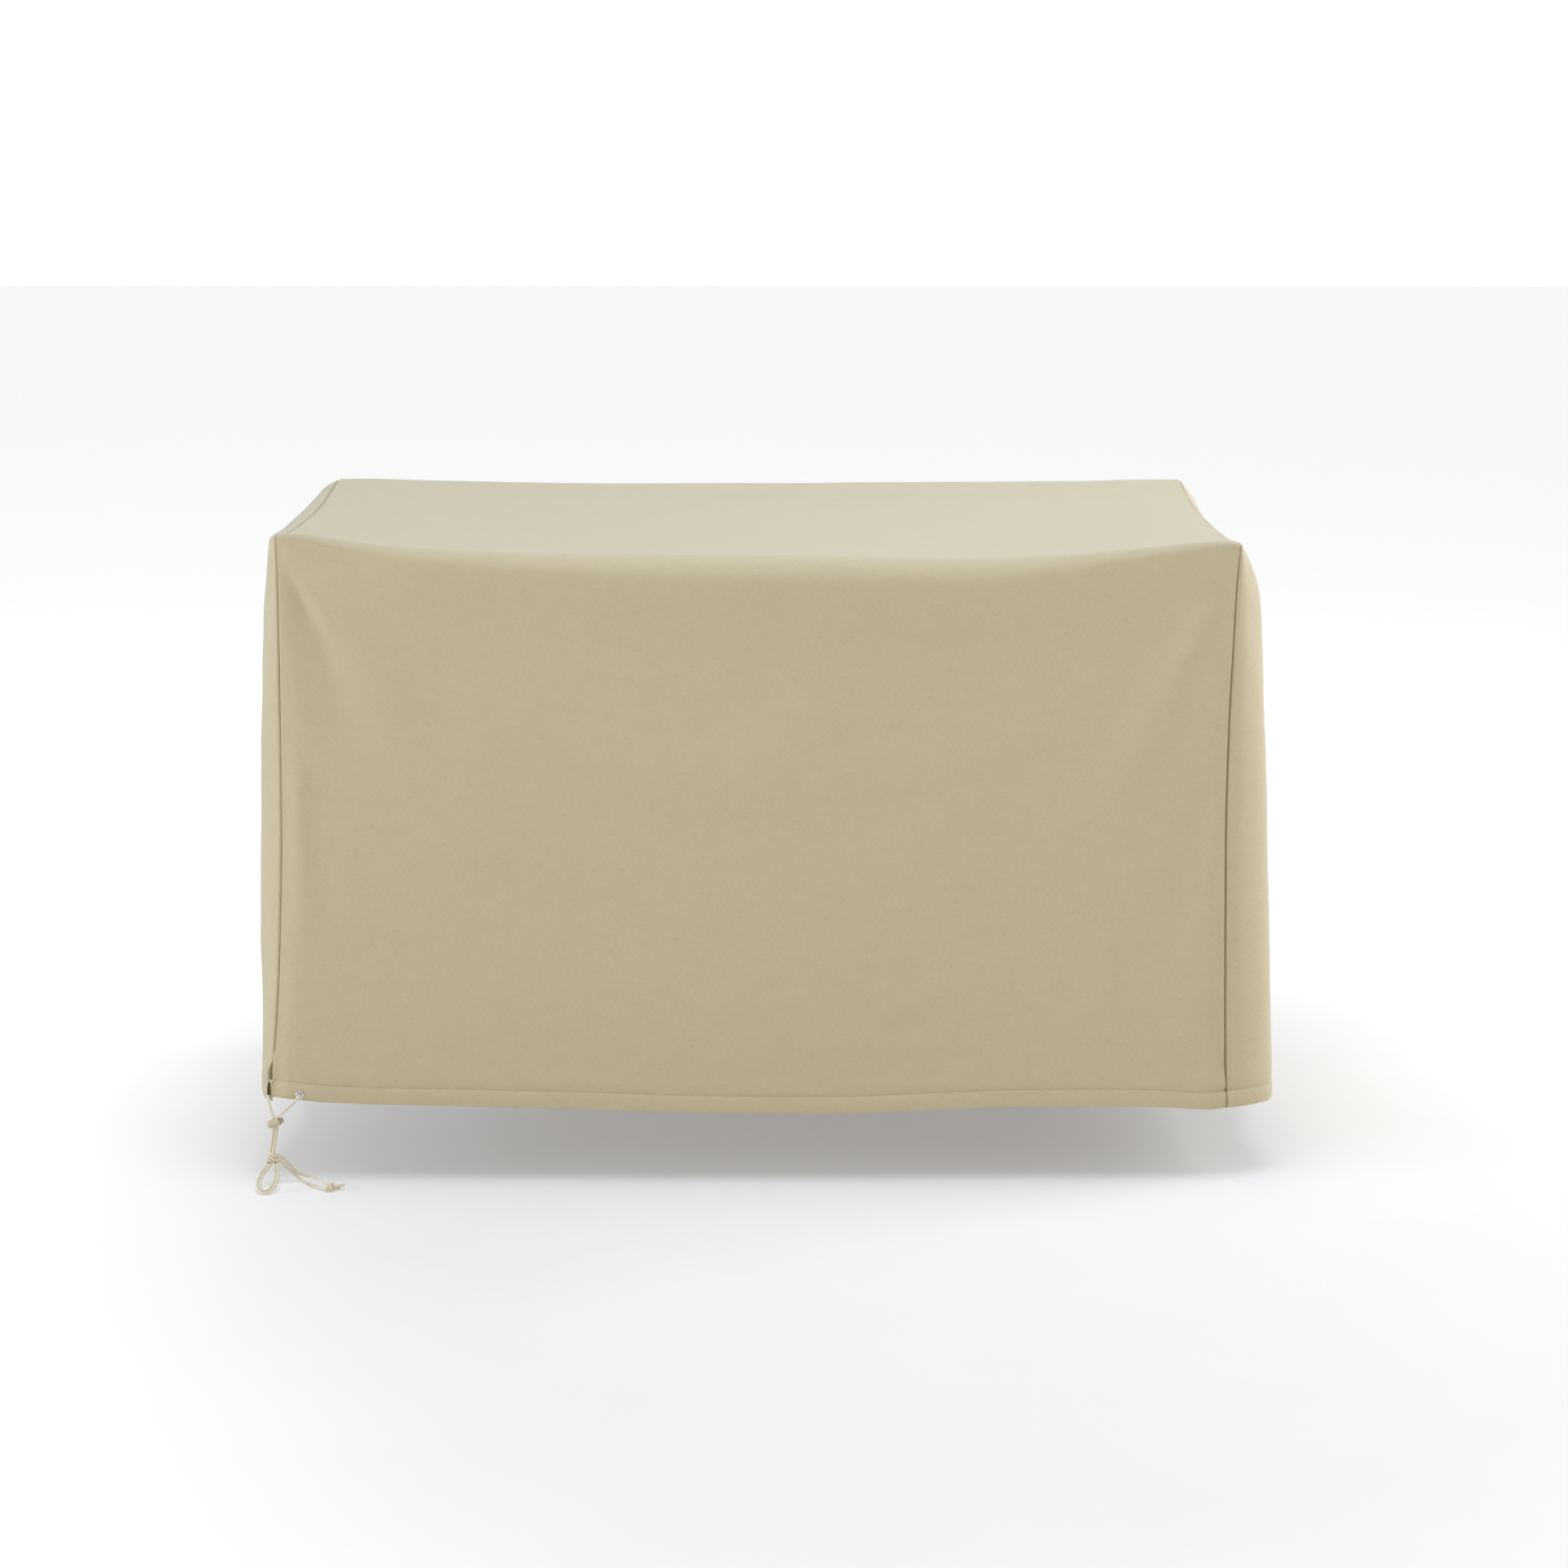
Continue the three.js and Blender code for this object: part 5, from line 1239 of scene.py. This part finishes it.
# ---- the two end panels
def make_end(which):
    sign = 1.0 if which == "right" else -1.0
    probe = long_panel(0.0 if which == "left" else 1.0, np.linspace(1.5, 3.5, 2001))
    depth = probe[:, 1] - probe[0, 1]
    full = depth[-1]
    near = np.array([0, 0.8, 1.7, 2.8, 4.2, 6.0, 8.5, 11.5, 15.5, 21.0, 28.0])
    places = np.concatenate([near, np.linspace(35.0, full - 35.0, 92), full - near[::-1]])
    q = np.interp(places, depth, np.linspace(0, 1, 2001))
    front_edge = long_panel(0.0 if which == "left" else 1.0, np.linspace(0.1, 1.5, 4001))
    z_top = front_edge[-1, 2]
    below = np.concatenate([[0, 0.12, 0.3, 0.55, 0.9, 1.35, 1.9, 2.6, 3.5, 4.8, 6.5, 9, 12.5, 17, 23, 30, 38], np.linspace(47, z_top - front_edge[0, 2], 88)])
    t_up = np.interp(z_top - below[::-1], front_edge[:, 2], np.linspace(0.1, 1.5, 4001))
    rows = panel_rows([(t, 0.2, 1, 99.0) for t in t_up])
    t = np.array([r[0] for r in rows])
    layer, rise = np.array([r[2] for r in rows]), np.array([r[3] for r in rows])
    if which == "left":
        q = q[::-1]
    Q, T = np.meshgrid(q, t)
    fn = lambda a, b: end_panel(which, a, b)
    base = fn(Q, T)
    normal = surface_normals(fn, Q, T, 1.0, 1.5, 0.0012, 0.0012, sign)
    out = np.array([sign, 0, 0])
    # near a seam the sheet is counted as upright, so that its layers keep their sides
    far = gaps(base, 1)
    e_first, e_last = far, far[:, -1:] - far
    e_front, e_back = (e_last, e_first) if which == "left" else (e_first, e_last)
    up = gaps(base, 0)
    e_top = up[-1:] - up
    y_, z_ = base[..., 1], base[..., 2]
    rise2 = rise[:, None] * np.ones_like(y_)
    height = relief(which, y_, z_) * smooth((e_top - 2) / 20)
    height = height + seam_puckers(z_, e_front, 3 if which == "left" else 5) + seam_puckers(z_, e_back, 4 if which == "left" else 6)
    height = height + seam_puckers(y_, e_top, 7 if which == "left" else 8, 0.9)
    height = height + hem_puckers(y_, rise2, 3 if which == "left" else 4, 0.8) * (rise2 < 98) * (layer != -1)[:, None]
    off = np.array([r[1] for r in rows])[:, None] * np.ones_like(y_)
    held = np.ones(y_.shape)
    rise_true = np.where(rise2 < 98, rise2, z_ - base[int(np.argmin(abs(rise)))][None, :, 2])
    if which == "left":
        corner = np.exp(-((e_front / 60.0) ** 4))
        held = 1 - corner * (1 - smooth((rise_true - SLIT_HEIGHT - 1) / 6))
        mouth = np.exp(-((e_front / 14.0) ** 2)) * (rise_true < 24)
        gape = np.where(layer == 1, 0.30, np.where(layer == -1, 1.35, 0.8))[:, None]
        off = off * (1 + gape * mouth)
    points = base + normal * (off + height * np.where(layer == -1, 0.3, 1.0)[:, None])[..., None]
    g = lambda e: np.exp(-((e / 6.0) ** 2))[..., None] + 1e-6
    partner = unit(g(e_front) * np.array([0, -1.0, 0]) + g(e_back) * np.array([0, 1.0, 0]) + g(e_top) * np.array([0, 0, 1.0]))
    own = np.broadcast_to(out, base.shape)
    e = np.minimum(np.minimum(e_front, e_back), e_top)
    pull = np.where(layer == 1, np.where(rise < 24, 0.5, 1.0), np.where(layer == 0, 0.25, 0.0))[:, None] * np.ones_like(y_)
    points, inward = seam_in(points, own, partner, e, held, off, pull)
    scale = np.where(layer == 1, mix(0.12, 1.0, smooth((rise - 24) / 6)), 0.06)
    turn_ = np.where(layer == 1, mix(2.4, 7.5, smooth((rise - 24) / 6)), 2.4)
    side_ = grid_normals(points)
    first = allowance(points, inward[:, 0], side_, True, held[:, 0], scale, turn_)
    spring = None
    if which == "left":
        # above the hem it ends well behind the front panel's own edge; in the hem only
        # the inner layer springs, so that the channel's mouth stands open
        z_edge = points[:, -1, 2]
        x_front = read(UPRIGHT, "z", "leftFront", z_edge)
        inner_layer = (layer == -1) | ((layer == 0) & (np.arange(len(layer)) < len(HEM_IN) + 3))
        spring = np.stack([np.where(inner_layer, x_front - 1.2, x_front + 2.5),
                           np.where(inner_layer, -383.0, -352.0), z_edge - 0.5], 1)
        sprung = np.where(inner_layer, 1.0, np.where(layer == 1, smooth((rise - 22) / 6), 0.0))
        spring = (spring, sprung)
    last = allowance(points, inward[:, -1], side_, False, held[:, -1], scale, turn_, spring)
    full_grid = np.concatenate([first, points, last], 1)
    k = ALLOW[::-1][1::2]
    n_allow = len(ALLOW)
    tops = []
    for depth_k in k:
        row = full_grid[-1].copy()
        row[n_allow:-n_allow] = points[-1] + inward[-1] * depth_k
        row[:n_allow] += inward[-1, 0] * depth_k
        row[-n_allow:] += inward[-1, -1] * depth_k
        tops.append(row)
    full_grid = np.concatenate([full_grid, np.stack(tops)], 0)
    normals = grid_normals(full_grid)
    u = gaps(points[len(rows) - 30], 0) * MM
    u = np.concatenate([-ALLOW * MM, u, u[-1] + ALLOW[::-1] * MM]) + (3.0 if which == "left" else 6.0)
    v = gaps(full_grid[:, full_grid.shape[1] // 2], 0) * MM
    uv = np.stack(np.meshgrid(u, v), -1)
    rows_n, cols_n = full_grid.shape[:2]
    last_row = len(rows) - 1

    def notch(r, c):
        return r >= last_row and (c < n_allow or c >= cols_n - 1 - n_allow)

    faces = sheet_faces(rows_n, cols_n, [True] * rows_n, skip=notch)
    # painted shade: weight of the darkening painted along the end panel's seams, weaker at the top seam
    seam_painted_shade = np.maximum(seam_painted_shade_weight(np.minimum(e_front, e_back)) * held, 0.6 * seam_painted_shade_weight(e_top))
    seam_painted_shade = np.pad(seam_painted_shade, ((0, len(tops)), (n_allow, n_allow)), mode="edge")
    obj = sheet_object("end_%s_cloth" % which, full_grid, normals, faces, uv, seam_painted_shade)
    add_piece(obj, "cloth", "end_" + which)
    size = (float(gaps(points[len(rows) - 60], 0)[-1]) * MM + 0.016, float(gaps(full_grid[:, cols_n // 2], 0)[-1]) * MM)
    return obj, dict(points=full_grid + normals * THICK / 2, inner=full_grid - normals * THICK / 2, normals=normals,
                     start=n_allow, rise=rise, layer=layer, rows=len(rows), which=which), size


end_left_cloth, LEFT_END, left_size = make_end("left")
end_right_cloth, RIGHT_END, right_size = make_end("right")


# ---------------------------------------------------------------- sewing
def stitches(name, runs, thick=0.28, mat=None):
    """Rows of lock stitches: short threads that dip into the cloth at both ends."""
    verts, faces = [], []
    rng = np.random.default_rng(9)
    for points, normals, pitch in runs:
        far = np.concatenate([[0], np.cumsum(np.linalg.norm(np.diff(points, axis=0), axis=1))])
        count = int(far[-1] / pitch)
        for i in range(count):
            mid = (i + 0.5) * pitch + rng.uniform(-0.12, 0.12)
            half = pitch * 0.36
            ring_at = np.array([-1.0, -0.72, -0.3, 0.3, 0.72, 1.0])
            sink = np.array([-0.55, -0.08, 0.16, 0.16, -0.08, -0.55])
            size = np.array([0.35, 0.85, 1.0, 1.0, 0.85, 0.35]) * thick
            where = mid + ring_at * half
            line = np.stack([np.interp(where, far, points[:, j]) for j in range(3)], 1)
            nrm = unit(np.stack([np.interp(where, far, normals[:, j]) for j in range(3)], 1))
            line = line + nrm * (sink * thick * 1.6 + 0.02)[:, None]
            ahead = unit(line[-1] - line[0])
            side_ = unit(np.cross(ahead, nrm))
            up_ = np.cross(side_, ahead)
            base = len(verts) * 0 + sum(len(v) for v in verts)
            th = np.arange(6) / 6 * 2 * math.pi
            rings = line[:, None] + size[:, None, None] * (np.cos(th)[None, :, None] * side_[:, None] + np.sin(th)[None, :, None] * up_[:, None])
            verts.append(rings.reshape(-1, 3))
            for a in range(5):
                for j in range(6):
                    m = (j + 1) % 6
                    faces.append((base + a * 6 + j, base + a * 6 + m, base + (a + 1) * 6 + m, base + (a + 1) * 6 + j))
            faces.append(tuple(base + j for j in range(5, -1, -1)))
            faces.append(tuple(base + 30 + j for j in range(6)))
    obj = mesh_object(name, np.vstack(verts), faces, mat or THREAD_MAT)
    return add_piece(obj, "cloth")


def row_run(grid, surface, row, c0, c1, pitch, flip=False):
    normals = grid["normals"][row, c0:c1] * (-1 if flip else 1)
    return grid[surface][row, c0:c1], normals, pitch


def find_row(grid, rise, layer, side="front"):
    ok = (np.abs(grid["rise"] - rise) < 0.01) & (grid["layer"] == layer)
    if side in grid:
        ok &= grid[side]
    return int(np.where(ok)[0][0])


def at_place(grid, col, rise, rows):
    """A point of the outer face between rows and columns."""
    rises = grid["rise"][rows]
    r = float(np.interp(rise, rises, rows))
    r0, c0 = int(r), int(col)
    fr_, fc = r - r0, col - c0
    p = grid["points"]
    n = grid["normals"]
    blend = lambda g: ((1 - fr_) * ((1 - fc) * g[r0, c0] + fc * g[r0, c0 + 1]) + fr_ * ((1 - fc) * g[r0 + 1, c0] + fc * g[r0 + 1, c0 + 1]))
    return blend(p), blend(n)


C0, C1 = LONG["start"], LONG["points"].shape[1] - LONG["start"]
fh, bh = find_row(LONG, 25.0, 1, "front"), find_row(LONG, 25.0, 1, "back")
fhi, bhi = find_row(LONG, 25.0, -1, "front"), find_row(LONG, 25.0, -1, "back")
hem_front = stitches("stitches_hem_front", [row_run(LONG, "points", fh, C0 + 2, C1, 4.0),
                                            row_run(LONG, "points", fhi, C0 + 2, C1, 4.0)])
hem_back = stitches("stitches_hem_back", [row_run(LONG, "points", bh, C0, C1, 4.0),
                                          row_run(LONG, "points", bhi, C0, C1, 4.0)])
for grid in (LEFT_END, RIGHT_END):
    a, b = grid["start"], grid["points"].shape[1] - grid["start"]
    out_row, in_row = find_row(grid, 25.0, 1, "any"), find_row(grid, 25.0, -1, "any")
    stitches("stitches_hem_" + grid["which"], [row_run(grid, "points", out_row, a, b, 4.0),
                                                                       row_run(grid, "points", in_row, a, b, 4.0)])

# the stitching that holds the turned edges of the open corner, and its bar tack
outer_rows = [i for i in range(len(LONG["rise"])) if LONG["front"][i] and LONG["layer"][i] == 1 and LONG["t"][i] < 0.16]
rise_list = np.array([LONG["rise"][i] if LONG["rise"][i] < 98 else LONG["t"][i] * 600 if LONG["t"][i] <= 0.1 else 60 + (LONG["t"][i] - 0.1) / 0.9 * 712 for i in outer_rows])
slit_e = gaps(LONG["points"][outer_rows[0], C0:C0 + 30], 0)


def slit_point(e, rise):
    r = float(np.interp(rise, rise_list, outer_rows))
    c = C0 + float(np.interp(e, slit_e, np.arange(30)))
    r0, c0 = int(r), int(c)
    fr_, fc = r - r0, c - c0
    blend = lambda g: ((1 - fr_) * ((1 - fc) * g[r0, c0] + fc * g[r0, c0 + 1]) + fr_ * ((1 - fc) * g[r0 + 1, c0] + fc * g[r0 + 1, c0 + 1]))
    return blend(LONG["points"]), blend(LONG["normals"])


way = [(6.2, r) for r in np.linspace(28, 56, 12)] + [(6.2 * math.cos(a) ** 0.8, 56 + 8 * math.sin(a)) for a in np.linspace(0.15, 1.45, 9)]
pairs = [slit_point(e, r) for e, r in way]
slit_run = (np.array([p for p, n in pairs]), np.array([n for p, n in pairs]), 3.4)
rng = np.random.default_rng(4)
tack = []
for r in np.linspace(25.4, 28.6, 6):
    ends = [slit_point(0.0, r + rng.uniform(-0.15, 0.15)), slit_point(2.6, r + rng.uniform(-0.15, 0.15))]
    tack.append((np.array([p for p, n in ends]), np.array([n for p, n in ends]), float(np.linalg.norm(ends[1][0] - ends[0][0])) * 0.999))
slit_sewing = stitches("stitches_slit", [slit_run])
slit_tack = stitches("stitches_bar_tack", tack, 0.34, TACK_MAT)

# ---------------------------------------------------------------- eyelet
EYE = dict(hole=5.4, bore=7.0, flange=12.0, lip=1.0)
half = 2.8 / 2 + 0.3 + 0.1
eye_section = rounded([
    (EYE["hole"] / 2, -half - 0.2), (EYE["hole"] / 2 + 0.5, -half - EYE["lip"]), (EYE["flange"] / 2 - 1.2, -half - EYE["lip"]),
    (EYE["flange"] / 2 - 0.5, -half), (EYE["bore"] / 2, -half), (EYE["bore"] / 2, half),
    (EYE["flange"] / 2, half), (EYE["flange"] / 2 - 0.35, half + EYE["lip"] * 0.75), (EYE["flange"] / 2 - 1.5, half + EYE["lip"] * 1.05),
    (EYE["hole"] / 2 + 0.6, half + EYE["lip"] * 0.75), (EYE["hole"] / 2, half + 0.1), (EYE["hole"] / 2, -half - 0.2)], 3, 0.35)
verts, faces = lathe(eye_section + [eye_section[0]] if eye_section[0] != eye_section[-1] else eye_section, 64, eye_centre, eye_normal)
ring_n = 64
count = len(verts) // ring_n
keep = verts[: (count - 1) * ring_n]
faces = [tuple(i % ((count - 1) * ring_n) for i in f) for f in faces]
eyelet = mesh_object("eyelet_ring", keep, faces, METAL_MAT)
shade_by_angle(eyelet, 50)
add_piece(eyelet, "metal", "eyelet_front")

# ---------------------------------------------------------------- floor, light
floor_mat, nodes, links, bsdf = new_material("pale_floor_painted_glow")
coord = nodes.new("ShaderNodeTexCoord")
grain = noise_node(nodes, links, coord.outputs["Object"], 6.0, 4.0)
links.new(ramp(nodes, links, grain, [(0.3, (0.592, 0.545, 0.485)), (0.7, (0.602, 0.555, 0.494))]), bsdf.inputs["Base Color"])
# painted light: the floor glows by its own emission, which lifts the shade under the cover
bsdf.inputs["Emission Color"].default_value = (0.97, 1.0, 1.04, 1.0)
# painted shadow: the glow is weakest near the cover and grows farther from it, so a soft shadow pool around the cover
# is painted in
place = nodes.new("ShaderNodeSeparateXYZ")
links.new(coord.outputs["Object"], place.inputs[0])
px = math_node(nodes, links, "ADD", place.outputs[0], -0.15)
px = math_node(nodes, links, "MAXIMUM", px, math_node(nodes, links, "MULTIPLY", px, -1.8))
py = math_node(nodes, links, "ADD", place.outputs[1], 0.6)
far = math_node(nodes, links, "SQRT", math_node(nodes, links, "ADD", math_node(nodes, links, "MULTIPLY", px, px),
                                                math_node(nodes, links, "MULTIPLY", py, py)))
floor_painted_glow = nodes.new("ShaderNodeMapRange")
floor_painted_glow.interpolation_type = "SMOOTHSTEP"
for label, value in (("From Min", 0.85), ("From Max", 3.0), ("To Min", 0.285), ("To Max", 0.68)):
    floor_painted_glow.inputs[label].default_value = value
links.new(far, floor_painted_glow.inputs["Value"])
links.new(floor_painted_glow.outputs[0], bsdf.inputs["Emission Strength"])
bsdf.inputs["Roughness"].default_value = 0.9
bsdf.inputs["Specular IOR Level"].default_value = 0.1
me = bpy.data.meshes.new("floor")
me.from_pydata([(-14, -9, FLOOR_Z), (14, -9, FLOOR_Z), (14, 26, FLOOR_Z), (-14, 26, FLOOR_Z)], [], [(0, 1, 2, 3)])
me.materials.append(floor_mat)
floor = bpy.data.objects.new("floor", me)
bpy.context.scene.collection.objects.link(floor)

world = bpy.data.worlds.new("studio")
bpy.context.scene.world = world
world.use_nodes = True
nodes, links = world.node_tree.nodes, world.node_tree.links
back_ground = nodes["Background"]
coord = nodes.new("ShaderNodeTexCoord")
sep = nodes.new("ShaderNodeSeparateXYZ")
links.new(coord.outputs["Generated"], sep.inputs[0])
# pale all round, with a brighter backdrop behind the cover
SKY = (0.41, 0.41, 0.41)
backdrop = nodes.new("ShaderNodeMapRange")
backdrop.interpolation_type = "SMOOTHSTEP"
backdrop.inputs["From Min"].default_value = 0.88
backdrop.inputs["From Max"].default_value = 0.97
backdrop.inputs["To Min"].default_value = 0.0
backdrop.inputs["To Max"].default_value = 0.9
links.new(sep.outputs[1], backdrop.inputs["Value"])
joined = nodes.new("ShaderNodeCombineColor")
for channel, level in zip(("Red", "Green", "Blue"), SKY):
    links.new(math_node(nodes, links, "ADD", backdrop.outputs[0], level), joined.inputs[channel])
links.new(joined.outputs[0], back_ground.inputs["Color"])
back_ground.inputs["Strength"].default_value = 1.0


def area_light(name, place, aim, size, watts, colour):
    data = bpy.data.lights.new(name, "AREA")
    data.shape, data.size, data.size_y = "RECTANGLE", size[0], size[1]
    data.energy, data.color = watts, colour
    obj = bpy.data.objects.new(name, data)
    bpy.context.scene.collection.objects.link(obj)
    obj.location = place
    obj.rotation_euler = (Vector(aim) - Vector(place)).to_track_quat("-Z", "Y").to_euler()
    return obj


area_light("over", (0.15, -1.45, 4.4), (0.15, -1.0, 0), (3.4, 2.6), 141, (0.85, 1.0, 1.24))
area_light("left", (-9.5, -3.0, 1.6), (-0.6, -0.2, -0.4), (3.8, 3.0), 305, (0.84, 1.0, 1.24))
area_light("right", (3.6, 0.6, 1.1), (0.7, 0, -0.4), (2.0, 2.0), 84, (0.91, 1.0, 1.12))
bpy.context.scene.view_settings.view_transform = "Standard"
bpy.context.scene.view_settings.look = "None"
